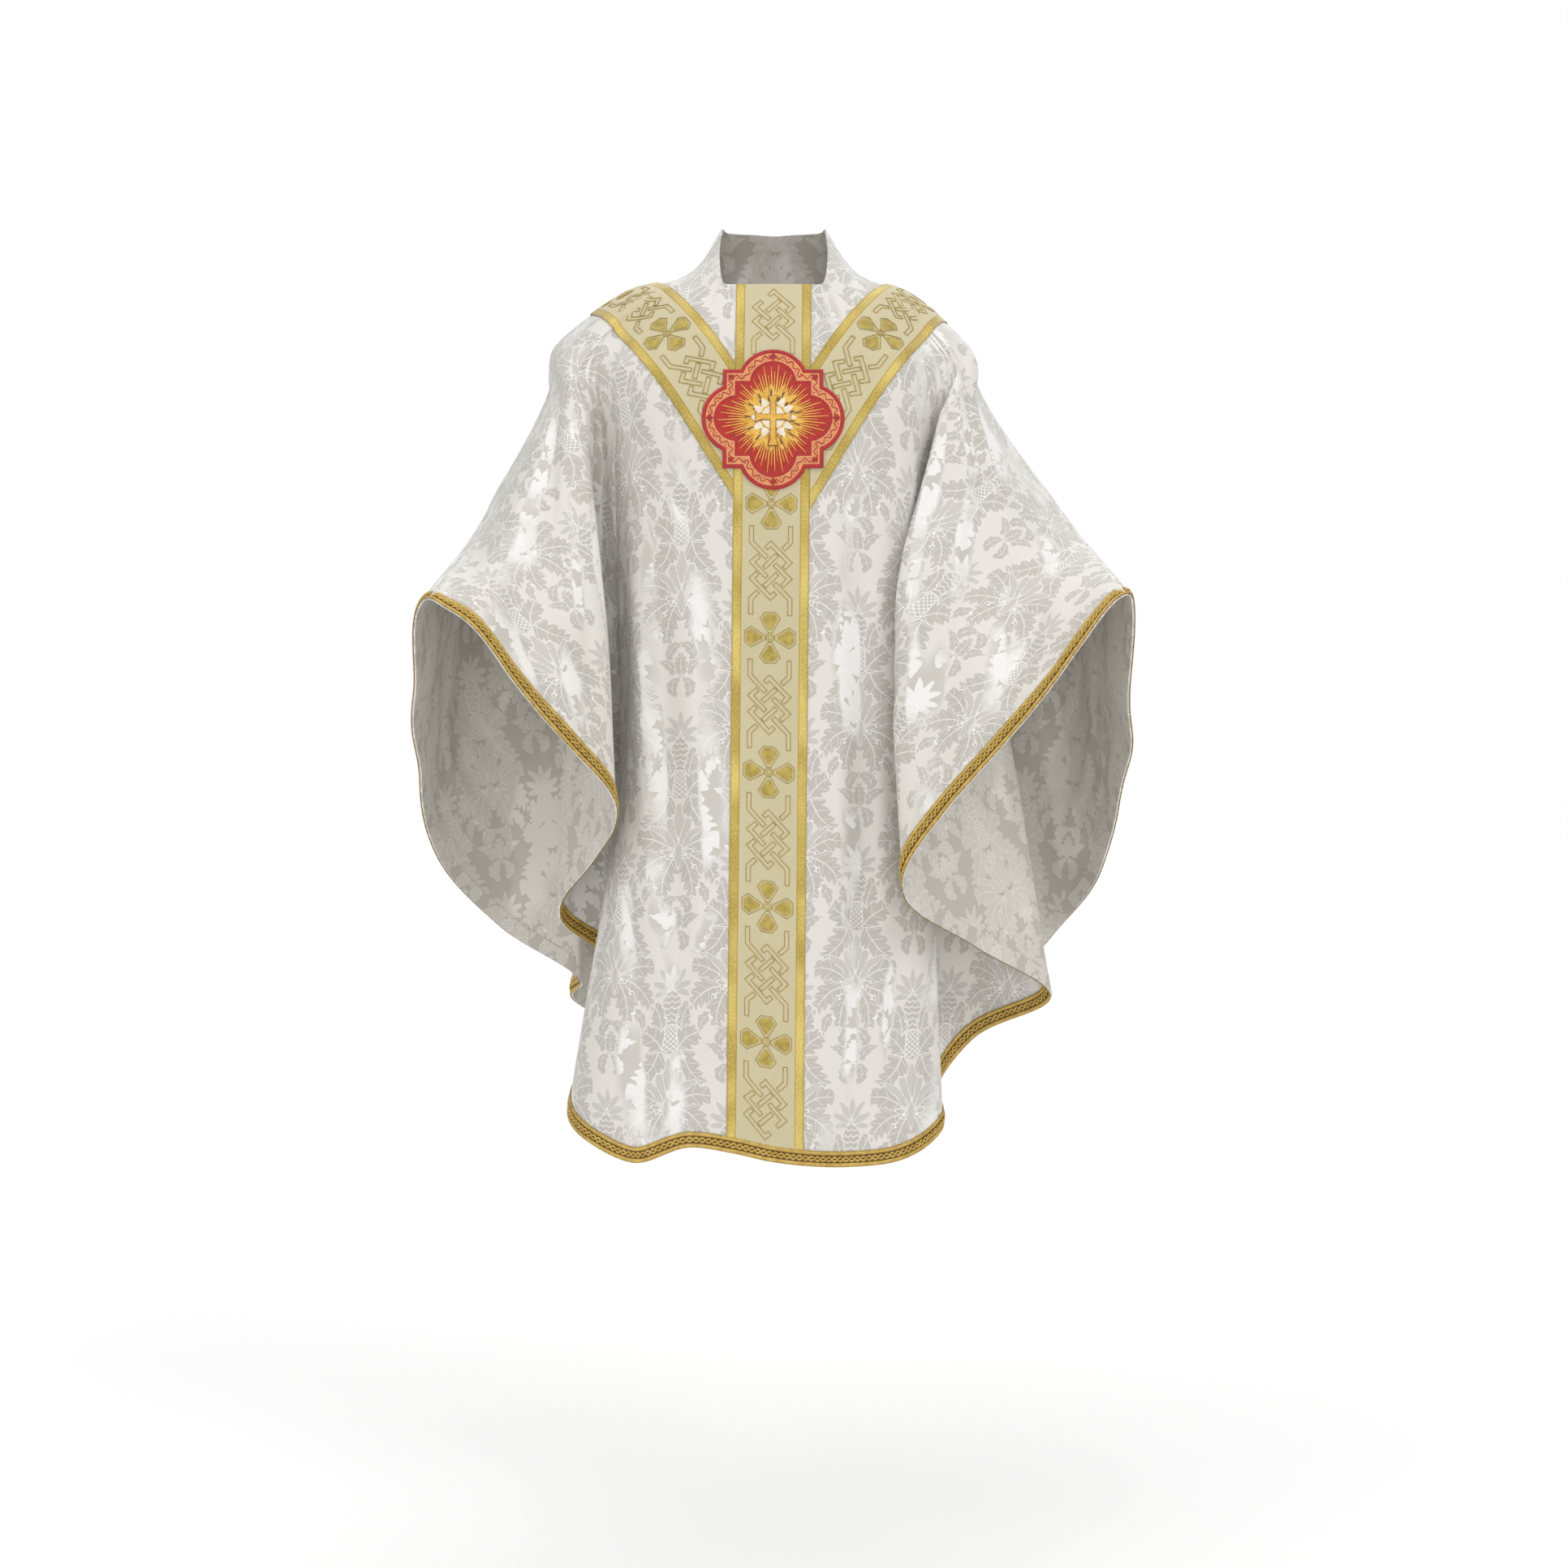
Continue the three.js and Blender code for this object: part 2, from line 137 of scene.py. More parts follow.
BACK_LEFT = [
    (1.06, (-292, 26, -102), (-451, -215, -580), (-20, 155, -10)),
    (1.12, (-292, 48, -104), (-467, -50, -720), (-34, 85, -34)),
    (1.18, (-288, 68, -104), (-451, 40, -815), (-34, 50, -30)),
    (1.25, (-279, 85, -106), (-378, 82, -898), (-15, 25, -10)),
    (1.31, (-271, 92, -105), (-265, 62, -974)),
    (1.38, (-255, 98, -103), (-287, 116, -995)),
    (1.5, (-209, 108, -102), (-213, 180, -1049)),
    (1.62, (-164, 115, -100), (-155, 165, -1085)),
    (1.8, (-84, 120, -100), (-87, 205, -1106)),
]


def curve_at(points, knots, t):
    """Smooth curve through points at rising knots. Each tangent is that of a parabola through three points."""
    points, knots, t = np.asarray(points, float), np.asarray(knots, float), np.atleast_1d(t)
    shape = (-1,) + (1,) * (points.ndim - 1)
    step = np.diff(knots)
    slope = np.diff(points, axis=0) / step.reshape(shape)
    share = (step[:-1] / (step[:-1] + step[1:])).reshape(shape)
    tangent = np.concatenate([slope[:1], slope[:-1] * (1 - share) + slope[1:] * share, slope[-1:]])
    i = np.clip(np.searchsorted(knots, t, side="right") - 1, 0, len(step) - 1)
    span = step[i].reshape(shape)
    s = (t - knots[i]).reshape(shape) / span
    return (
        points[i] * (2 * s**3 - 3 * s**2 + 1)
        + tangent[i] * (s**3 - 2 * s**2 + s) * span
        + points[i + 1] * (3 * s**2 - 2 * s**3)
        + tangent[i + 1] * (s**3 - s**2) * span
    )


def run_along(points):
    """Length along a line of points, up to each of them."""
    return np.concatenate([[0], np.cumsum(np.linalg.norm(np.diff(points, axis=0), axis=1))])


def fold_line(neck, yoke, hem, bend=(0, 0, 0), spread=SPREAD):
    """The seven knots of a fold line from the neck edge to the hem, in metres."""
    yoke, hem, bend = np.array(yoke, float), np.array(hem, float), np.array(bend, float)
    mirror = np.array([-1.0 if yoke[0] < 0 else 1.0, 1, 1])
    edge = curve_at(NECK_EDGE, NECK_AT, neck)[0] * mirror
    base = curve_at(NECK_BASE, NECK_AT, neck)[0] * mirror
    crest = base + (yoke - base) * CREST_SHARE + [0, 0, curve_at(NECK_RISE, NECK_AT, neck)[0]]
    middle = (yoke + hem) / 2 + bend
    drop = yoke + (middle - yoke) * [spread, DROP, DROP]
    return np.array([edge, base, crest, yoke, drop, middle, hem]) * MM


FRONT_LINES = SEAM_LEFT + FRONT_LEFT[::-1] + FRONT_CENTRE + FRONT_RIGHT
BACK_LINES = SEAM_RIGHT + BACK_RIGHT + BACK_CENTRE + BACK_LEFT[::-1]
RING = np.array([fold_line(*line) for line in FRONT_LINES + BACK_LINES])
RING_KNOTS = run_along(np.concatenate([RING[:, -1], RING[:1, -1]]))
RING_LENGTH = RING_KNOTS[-1]
SEAM_AT = RING_KNOTS[len(FRONT_LINES)]
# Fold lines are counted from the front centre to the right and on round the back
CENTRE_LINE = len(FRONT_LEFT) + 1
RIGHT_SEAM = len(FRONT_RIGHT) + 1
BACK_MIDDLE = RIGHT_SEAM + len(BACK_RIGHT) + 1


def cloth(around, down):
    """Points of the cloth's middle surface, for places round the hem and shares of the way down."""
    lines = curve_at(RING.transpose(1, 0, 2), LINE_KNOTS, down).transpose(1, 0, 2)
    points = np.concatenate([lines[-2:], lines, lines[:3]])
    knots = np.concatenate([RING_KNOTS[-3:-1] - RING_LENGTH, RING_KNOTS, RING_KNOTS[1:3] + RING_LENGTH])
    return curve_at(points, knots, around)


def around_at(line):
    """Place round the hem of a fold line; 0 is the front centre and a negative number is left of it."""
    count = len(RING)
    index = np.arange(-count, 2 * count)
    knots = np.concatenate([RING_KNOTS[:-1] + turn * RING_LENGTH for turn in (-1, 0, 1)])
    return np.interp(CENTRE_LINE + np.asarray(line, float), index, knots)


def unit(v):
    return v / np.maximum(np.linalg.norm(v, axis=-1, keepdims=True), 1e-12)


def facing(points):
    """Outward normals of a grid of points, columns first."""
    along = np.gradient(points, axis=0)
    down = np.gradient(points, axis=1)
    return unit(np.cross(down, along))


# ---------------------------------------------------------------- creases
# Seen from the camera: places in the photograph, width and depth in millimetres (a trough is negative)
SEEN_CREASES = [
    ([(735, 384), (728, 410), (722, 445), (717, 495), (714, 545)], 13, -9),
    ([(1164, 384), (1176, 420), (1190, 468), (1199, 530), (1212, 588), (1209, 645)], 13, -9),
    ([(690, 432), (686, 480), (684, 540), (682, 610), (676, 680)], 11, -5),
    ([(757, 640), (755, 700), (759, 780), (762, 860), (764, 950)], 14, -6),
    ([(735, 690), (745, 760), (750, 830), (757, 900)], 10, 4),
    ([(1104, 620), (1101, 720), (1099, 840), (1097, 960), (1096, 1060)], 14, -6),
    ([(1122, 600), (1120, 700), (1117, 820), (1114, 930)], 12, 4),
    ([(792, 560), (806, 700), (818, 860), (824, 1000), (828, 1160)], 20, -8),
    ([(780, 700), (790, 860), (796, 1020), (800, 1200)], 13, 5),
    ([(846, 700), (856, 900), (858, 1080), (850, 1250), (846, 1390)], 19, 7),
    ([(1056, 600), (1062, 760), (1064, 940), (1062, 1100), (1064, 1260)], 20, -8),
    ([(1036, 820), (1034, 980), (1036, 1160), (1038, 1320), (1036, 1400)], 17, 6),
    ([(1084, 900), (1088, 1060), (1086, 1200), (1080, 1330)], 13, 5),
    ([(776, 1080), (784, 1200), (790, 1320), (794, 1410)], 17, -8),
    ([(812, 1120), (822, 1240), (826, 1350), (824, 1410)], 13, 5),
    ([(1112, 1180), (1102, 1290), (1094, 1392)], 17, -7),
    ([(640, 620), (660, 730), (690, 830), (716, 920)], 20, 6),
    ([(600, 690), (640, 780), (680, 870)], 15, -5),
    ([(566, 760), (600, 800), (640, 850)], 13, 3.5),
    ([(704, 560), (712, 660), (726, 780), (738, 880)], 13, -4.5),
    ([(1250, 620), (1232, 730), (1206, 840), (1176, 950)], 20, 6),
    ([(1310, 680), (1272, 780), (1226, 880)], 16, -5),
    ([(1200, 600), (1190, 720), (1170, 830), (1150, 930)], 14, -4.5),
    ([(1350, 760), (1310, 820), (1262, 880)], 13, 3.5),
    ([(790, 520), (806, 570), (832, 615), (866, 650)], 12, -4),
    ([(770, 520), (784, 600), (806, 680)], 12, 3),
    ([(1116, 520), (1098, 570), (1070, 615), (1036, 650)], 12, -4),
    ([(1136, 520), (1122, 600), (1104, 680)], 12, 3),
    ([(1004, 996), (1034, 1036), (1064, 1052), (1104, 1058)], 11, -6),
    ([(1002, 1066), (1030, 1108), (1060, 1130), (1104, 1140)], 12, -6.5),
    ([(1004, 1172), (1040, 1206), (1070, 1218), (1104, 1216)], 11, -5.5),
    ([(906, 1030), (876, 1070), (850, 1110), (822, 1170)], 11, -5.5),
    ([(906, 1118), (870, 1170), (834, 1220), (794, 1266)], 13, -7),
    ([(908, 1244), (872, 1286), (838, 1314), (796, 1334)], 12, -5.5),
]
# Elsewhere: fold line number and share of the way down
OTHER_CREASES = [
    ([(23, 0.25), (23.1, 0.45), (22.9, 0.7), (23, 1)], 30, 5),
    ([(22, 0.3), (22.1, 0.5), (22.0, 0.8), (22.1, 1)], 22, -7),
    ([(21.4, 0.35), (21.3, 0.6), (21.5, 0.9)], 20, 6),
    ([(20.5, 0.25), (20.4, 0.5), (20.6, 0.85), (20.6, 1)], 22, -7),
    ([(19.4, 0.3), (19.5, 0.55), (19.3, 0.8)], 16, 5),
    ([(17.5, 0.22), (17.4, 0.4), (17.6, 0.62)], 16, -6),
    ([(16.4, 0.24), (16.6, 0.45), (16.4, 0.7)], 18, 5),
    ([(15.4, 0.24), (15.5, 0.4), (15.4, 0.6), (15.6, 0.9)], 20, -5),
    ([(14.4, 0.26), (14.5, 0.45), (14.5, 0.7)], 16, 4),
    ([(24, 0.3), (23.9, 0.5), (24.1, 0.75), (24, 1)], 22, -7),
    ([(24.7, 0.35), (24.8, 0.6), (24.6, 0.9)], 20, 6),
    ([(25.5, 0.25), (25.6, 0.5), (25.5, 0.8), (25.4, 1)], 22, -7),
    ([(26.6, 0.3), (26.5, 0.5), (26.7, 0.85)], 16, 5),
    ([(28.5, 0.22), (28.6, 0.42), (28.4, 0.6)], 16, -6),
    ([(29.6, 0.24), (29.4, 0.45), (29.6, 0.72)], 18, 5),
    ([(30.6, 0.24), (30.5, 0.42), (30.6, 0.62), (30.4, 0.9)], 20, -5),
    ([(31.6, 0.26), (31.5, 0.45), (31.5, 0.7)], 16, 4),
    ([(22.6, 0.03), (22.3, 0.1), (21.8, 0.17)], 12, -4),
    ([(23.4, 0.03), (23.8, 0.1), (24.3, 0.17)], 12, -4),
    ([(13.5, 0.5), (14.2, 0.62), (15.3, 0.72), (16.8, 0.78)], 17, 7),
    ([(13.7, 0.68), (14.6, 0.78), (15.9, 0.85), (17.4, 0.88)], 15, -6),
    ([(14.0, 0.36), (14.8, 0.46), (16.0, 0.54), (17.2, 0.58)], 16, -5),
    ([(14.6, 0.9), (15.6, 0.93), (16.8, 0.95)], 13, 4),
    ([(32.5, 0.5), (31.8, 0.62), (30.7, 0.72), (29.2, 0.78)], 17, 7),
    ([(32.3, 0.68), (31.4, 0.78), (30.1, 0.85), (28.6, 0.88)], 15, -6),
    ([(32.0, 0.36), (31.2, 0.46), (30.0, 0.54), (28.8, 0.58)], 16, -5),
    ([(31.4, 0.9), (30.4, 0.93), (29.2, 0.95)], 13, 4),
    ([(20.9, 0.5), (21.6, 0.62), (22.3, 0.7)], 14, -4),
    ([(25.3, 0.44), (24.6, 0.56), (23.9, 0.66)], 14, -4),
    ([(6.6, 0.3), (6.6, 0.55), (6.4, 0.9)], 16, -5),
    ([(8.4, 0.3), (8.5, 0.55), (8.4, 0.85)], 16, 4),
    ([(-7.5, 0.3), (-7.5, 0.6), (-7.4, 0.9)], 16, -4),
    ([(-9.6, 0.3), (-9.5, 0.6), (-9.6, 0.9)], 14, 4),
]
SHOULDER = 0.38  # height of the raised shoulders beside a trough, as a share of its depth
SHOULDER_REACH = 2.1  # their width, and how far a crease reaches at all, in widths of the trough
CREASE_REACH = 3.2
CREASE_STEP = 0.012
TAPER = 0.7
SEAM_CALM = 0.03  # creases fade out this close to a seam
GROOVE_DEPTH, GROOVE_WIDTH = 0.9 * MM, 0.0035
BESIDE_SEAM = np.array([0, 1.5, 3.5, 6.5]) * MM
SEAM_ZONE = 0.01


def panel_places(start, end, count):
    """Columns of a panel, closer together beside its two seams."""
    middle = np.linspace(start + SEAM_ZONE, end - SEAM_ZONE, count)
    return np.unique(np.concatenate([start + BESIDE_SEAM, middle, end - BESIDE_SEAM]))


DOWN = np.concatenate([np.linspace(0, 0.2, 42), np.linspace(0.2, 1, 100)[1:]])
AROUND = {"front": panel_places(0, SEAM_AT, 310), "back": panel_places(SEAM_AT, RING_LENGTH, 262)}


def grid_faces(n, m, start=0):
    """Quads of a grid of n columns and m rows, facing outwards."""
    i, j = np.meshgrid(np.arange(n - 1), np.arange(m - 1), indexing="ij")
    a = (start + i * m + j).ravel()
    return np.stack([a, a + 1, a + m + 1, a + m], axis=1)


def surface_tree(*grids):
    """Search tree over several grids of points."""
    points, faces, start = [], [], 0
    for grid in grids:
        n, m = grid.shape[:2]
        points.append(grid.reshape(-1, 3))
        faces.append(grid_faces(n, m, start))
        start += n * m
    return BVHTree.FromPolygons(np.concatenate(points).tolist(), np.concatenate(faces).tolist())


def seen_on(tree, place):
    """Where the camera meets a surface, at a place of the photograph."""
    return tree.ray_cast(Vector(CAMERA_PLACE), Vector(sight(*place)))[0]


def crease(points, path, width, depth):
    """How far a crease moves each point of a grid along its normal."""
    run = run_along(path)
    line = curve_at(path, run, np.linspace(0, run[-1], max(8, int(run[-1] / CREASE_STEP))))
    share = np.linspace(0, 1, len(line))
    flat = points.reshape(-1, 3)
    low, high = line.min(0) - CREASE_REACH * width, line.max(0) + CREASE_REACH * width
    near = np.flatnonzero(((flat > low) & (flat < high)).all(1))
    move = np.zeros(len(flat))
    if len(near):
        gap = np.linalg.norm(flat[near, None] - line[None], axis=2)
        closest = gap.argmin(1)
        away = gap[np.arange(len(near)), closest]
        taper = np.sin(np.pi * share[closest]) ** TAPER
        profile = np.exp(-((away / width) ** 2)) - SHOULDER * np.exp(-((away / (SHOULDER_REACH * width)) ** 2))
        move[near] = depth * profile * taper
    return move.reshape(points.shape[:2])


def sway(around, down):
    """Slight unevenness of hanging cloth."""
    a, d = np.meshgrid(around, down, indexing="ij")
    fade = np.clip((d - 0.16) / 0.2, 0, 1)
    broad = 2.4 * np.sin(a * 23 + 2.4 * np.sin(d * 5.1))
    fine = 1.5 * np.sin(a * 41 + 3.1 * d + 1.3 * np.sin(d * 9 + a * 3))
    return MM * fade * (broad + fine) * (0.5 + 0.5 * d)


def worn_panels():
    """Both panels' middle surfaces, with their creases and the grooves of the seams."""
    smooth = {side: cloth(around, DOWN) for side, around in AROUND.items()}
    tree = surface_tree(smooth["front"])
    creases = {"front": [], "back": []}
    for path, width, depth in SEEN_CREASES:
        hits = [seen_on(tree, place) for place in path]
        hits = [np.array(hit) for hit in hits if hit is not None]
        if len(hits) > 2:
            creases["front"].append((np.array(hits), width * MM, depth * MM))
    for path, width, depth in OTHER_CREASES:
        points = [cloth(around_at(line) % RING_LENGTH, [down])[0, 0] for line, down in path]
        side = "front" if path[0][0] < RIGHT_SEAM else "back"
        creases[side].append((np.array(points), width * MM, depth * MM))
    creased = {}
    for side, points in smooth.items():
        around = AROUND[side]
        move = sway(around, DOWN)
        for path, width, depth in creases[side]:
            move += crease(points, path, width, depth)
        from_seam = np.minimum(around - around[0], around[-1] - around)[:, None] * (0.25 + 0.75 * DOWN[None])
        calm = np.clip(from_seam / SEAM_CALM, 0, 1)
        move *= calm * calm * (3 - 2 * calm)
        move -= GROOVE_DEPTH * np.exp(-((from_seam / GROOVE_WIDTH) ** 2))
        creased[side] = points + facing(points) * move[..., None]
    return creased


worn = worn_panels()
worn_normal = {side: facing(points) for side, points in worn.items()}
worn_tree = surface_tree(worn["front"], worn["back"])

# ---------------------------------------------------------------- the flat cut
COARSE = (46, 26)
NECK_RADIUS = 0.12
LEAST_COT, MOST_COT = 0.05, 20
FLAT_SPREAD = {"front": 1.5, "back": 1.25}  # half the angle of the fan from which the laying flat starts
LAYING_ROUNDS = 80


def doubled_areas(corners):
    """Twice the signed areas of flat triangles."""
    return ((corners[:, 1] - corners[:, 0]).conj() * (corners[:, 2] - corners[:, 0])).imag


def lay_flat(points, spread_angle):
    """Lays a grid of cloth flat with as little stretch as can be, as complex numbers in metres."""
    n, m = points.shape[:2]
    steps = np.linalg.norm(np.diff(points, axis=1), axis=2)
    run = np.concatenate([np.zeros((n, 1)), np.cumsum(steps, axis=1)], axis=1)
    turn = np.linspace(-spread_angle, spread_angle, n)[:, None]
    flat = ((NECK_RADIUS + run) * (np.sin(turn) - 1j * np.cos(turn))).ravel()
    quads = grid_faces(n, m)
    tris = np.concatenate([quads[:, [0, 1, 2]], quads[:, [0, 2, 3]]])
    a, b, c = (points.reshape(-1, 3)[tris[:, k]] for k in range(3))
    x = unit(b - a)
    y = unit(np.cross(np.cross(b - a, c - a), x))
    local = np.zeros((len(tris), 3), complex)
    local[:, 1] = np.linalg.norm(b - a, axis=1)
    local[:, 2] = ((c - a) * x).sum(1) + 1j * ((c - a) * y).sum(1)
    if doubled_areas(flat[tris]).sum() < 0:
        local = local.conj()
    matrix = np.zeros((n * m, n * m))
    edges = []
    for p, q, r in ((0, 1, 2), (1, 2, 0), (2, 0, 1)):
        u, v = local[:, p] - local[:, r], local[:, q] - local[:, r]
        product = u.conj() * v
        cot = np.clip(product.real / np.maximum(np.abs(product.imag), 1e-12), LEAST_COT, MOST_COT) / 2
        i, j = tris[:, p], tris[:, q]
        for place, share in (((i, i), cot), ((j, j), cot), ((i, j), -cot), ((j, i), -cot)):
            np.add.at(matrix, place, share)
        edges.append((i, j, local[:, q] - local[:, p], cot))
    matrix[0, 0] += 1
    inverse = np.linalg.inv(matrix)
    for _ in range(LAYING_ROUNDS):
        turn_by = sum(cot * (flat[j] - flat[i]) * way.conj() for i, j, way, cot in edges)
        turn_by = turn_by / np.maximum(np.abs(turn_by), 1e-12)
        right = np.zeros(n * m, complex)
        for i, j, way, cot in edges:
            pull = cot * turn_by * way
            np.add.at(right, j, pull)
            np.add.at(right, i, -pull)
        flat = inverse @ right
    flat = flat.reshape(n, m)
    middle = (n - 1) // 2
    down_way = flat[middle, -1] - flat[middle, 0]
    flat = (flat - flat[middle, 0]) * (-1j * abs(down_way) / down_way)
    return flat, abs(doubled_areas(flat.ravel()[tris])).sum() / 2


def flat_cut(around, spread_angle):
    """Flat coordinates for every point of a panel, with the cut's width and length, and its area."""
    places = np.linspace(around[0], around[-1], COARSE[0] + 1)
    shares = np.linspace(0, 1, COARSE[1])
    flat, area = lay_flat(cloth(places, shares), spread_angle)
    lay = [curve_at(curve_at(part.T, shares, DOWN).T, places, around) for part in (flat.real, flat.imag)]
    lay = np.stack(lay, axis=2)
    size = lay.reshape(-1, 2).max(0) - lay.reshape(-1, 2).min(0)
    return lay, (float(size[0]), float(size[1])), float(area)


lay_of, size_of, area_of = {}, {}, {}
for _side, _angle in FLAT_SPREAD.items():
    lay_of[_side], size_of[_side], area_of[_side] = flat_cut(AROUND[_side], _angle)

# ---------------------------------------------------------------- mesh making


def turned_out(points, faces):
    """The faces of a closed shape, all reversed if they look inwards."""
    centre = points.mean(0)
    volume = 0.0
    for face in faces:
        p = points[face] - centre
        for t in range(1, len(face) - 1):
            volume += np.dot(p[0], np.cross(p[t], p[t + 1]))
    return [face[::-1] for face in faces] if volume < 0 else faces


class Piece:
    """Collects the faces of one piece and makes its object."""

    def __init__(self):
        self.points, self.faces, self.finishes, self.lay = [], [], [], []
        self.count = 0

    def add(self, points, faces, finish=0, lay=None):
        points = np.asarray(points, float).reshape(-1, 3)
        self.points.append(points)
        self.faces += [[i + self.count for i in face] for face in faces]
        self.finishes += list(finish) if hasattr(finish, "__len__") else [finish] * len(faces)
        self.lay.append(np.zeros((len(points), 2)) if lay is None else np.asarray(lay, float).reshape(-1, 2))
        self.count += len(points)

    def tube(self, rings, closed=False, finish=0):
        """Skin over rings of points, closed into a loop or capped at both ends."""
        rings = np.asarray(rings, float)
        n, k = rings.shape[:2]
        faces = []
        for i in range(n if closed else n - 1):
            j = (i + 1) % n
            for a in range(k):
                b = (a + 1) % k
                faces.append([i * k + a, j * k + a, j * k + b, i * k + b])
        if not closed:
            faces.append(list(range(k)))
            faces.append([(n - 1) * k + a for a in range(k - 1, -1, -1)])
        flat = rings.reshape(-1, 3)
        self.add(flat, turned_out(flat, faces), finish)

    def make(self, name, finishes, sharp=40):
        mesh = bpy.data.meshes.new(name)
        mesh.from_pydata(np.concatenate(self.points).tolist(), [], self.faces)
        for finish in finishes:
            mesh.materials.append(finish)
        mesh.polygons.foreach_set("material_index", np.array(self.finishes, np.int32))
        mesh.polygons.foreach_set("use_smooth", np.full(len(self.faces), True))
        corner = np.zeros(len(mesh.loops), np.int32)
        mesh.loops.foreach_get("vertex_index", corner)
        layer = mesh.uv_layers.new(name="lay")
        layer.data.foreach_set("uv", np.concatenate(self.lay)[corner].astype(np.float32).ravel())
        mesh.set_sharp_from_angle(angle=math.radians(sharp))
        mesh.validate()
        mesh.update()
        return put(name, mesh)


def add_shell(piece, points, normals, low, high, lay, outer=0, inner=0):
    """Closed wall over a grid of points, from low to high along the normals."""
    n, m = points.shape[:2]
    skin = grid_faces(n, m)
    count = n * m
    both = np.concatenate([(points + normals * high).reshape(-1, 3), (points + normals * low).reshape(-1, 3)])
    rim = [(i * m, (i + 1) * m) for i in range(n - 1)]
    rim += [((n - 1) * m + j, (n - 1) * m + j + 1) for j in range(m - 1)]
    rim += [((i + 1) * m + m - 1, i * m + m - 1) for i in range(n - 2, -1, -1)]
    rim += [(j + 1, j) for j in range(m - 2, -1, -1)]
    edge = [[a, b, b + count, a + count] for a, b in rim]
    faces = skin.tolist() + (skin[:, ::-1] + count).tolist() + edge
    finish = [outer] * len(skin) + [inner] * len(skin) + [outer] * len(edge)
    flat = np.asarray(lay).reshape(-1, 2)
    piece.add(both, faces, finish, np.concatenate([flat, flat]))


class Strip:
    """Coordinates on a band of cloth: across it and along it, in metres."""

    def __init__(self, across, along, points):
        self.across, self.along, self.points = across, along, points
        self.normals = facing(points)

    def at(self, across, along, lift=0.0):
        x = np.interp(across, self.across, np.arange(len(self.across)))
        y = np.interp(along, self.along, np.arange(len(self.along)))
        i = np.minimum(x.astype(int), len(self.across) - 2)
        j = np.minimum(y.astype(int), len(self.along) - 2)
        fx, fy = (x - i)[..., None], (y - j)[..., None]

        def blend(grid):
            upper = grid[i, j] * (1 - fx) + grid[i + 1, j] * fx
            lower = grid[i, j + 1] * (1 - fx) + grid[i + 1, j + 1] * fx
            return upper * (1 - fy) + lower * fy

        return blend(self.points) + unit(blend(self.normals)) * np.asarray(lift)[..., None]


def along_path(path, step, closed=False):
    """Points of a path with no gap longer than step."""
    path = [np.array(p, float) for p in path]
    if closed:
        path.append(path[0])
    out = []
    for a, b in zip(path, path[1:]):
        cells = max(1, int(np.ceil(np.linalg.norm(b - a) / step)))
        out += [a + (b - a) * k / cells for k in range(cells)]
    if not closed:
        out.append(path[-1])
    return np.array(out)


def side_steps(path, closed=False):
    """Mitred unit offsets to the left of a path in the plane."""
    if closed:
        ahead = unit(np.roll(path, -1, axis=0) - path)
        behind = np.roll(ahead, 1, axis=0)
    else:
        ways = unit(np.diff(path, axis=0))
        ahead = np.concatenate([ways, ways[-1:]])
        behind = np.concatenate([ways[:1], ways])
    left_a = np.stack([-ahead[:, 1], ahead[:, 0]], axis=1)
    left_b = np.stack([-behind[:, 1], behind[:, 0]], axis=1)
    mitre = unit(left_a + left_b)
    return mitre / np.maximum((mitre * left_a).sum(1, keepdims=True), 0.4)


def add_line(piece, place, path, half, low, high, closed=False, finish=0, step=0.007, keep=None):
    """A flat raised line on a surface; place(across, along, lift) gives its points."""
    path = along_path(path, step, closed)
    if keep is not None and not keep(path):
        return
    offset = side_steps(path, closed) * half
    corners = ((path + offset, low), (path + offset, high), (path - offset, high), (path - offset, low))
    rings = [place(p[:, 0], p[:, 1], np.full(len(p), lift)) for p, lift in corners]
    piece.tube(np.stack(rings, axis=1), closed, finish)


def add_plate(piece, place, outline, low, high, finish=0, dome=0.0, step=0.006, keep=None):
    """A flat raised shape on a surface, domed where it says so."""
    outline = along_path(outline, step, True)
    if keep is not None and not keep(outline):
        return
    centre = outline.mean(0)
    rings = []
    for share, lift in ((1, low), (1, high), (0.6, high + dome * 0.75), (0.2, high + dome)):
        p = centre + (outline - centre) * share
        rings.append(place(p[:, 0], p[:, 1], np.full(len(p), lift)))
    piece.tube(np.array(rings), False, finish)


# ---------------------------------------------------------------- finishes


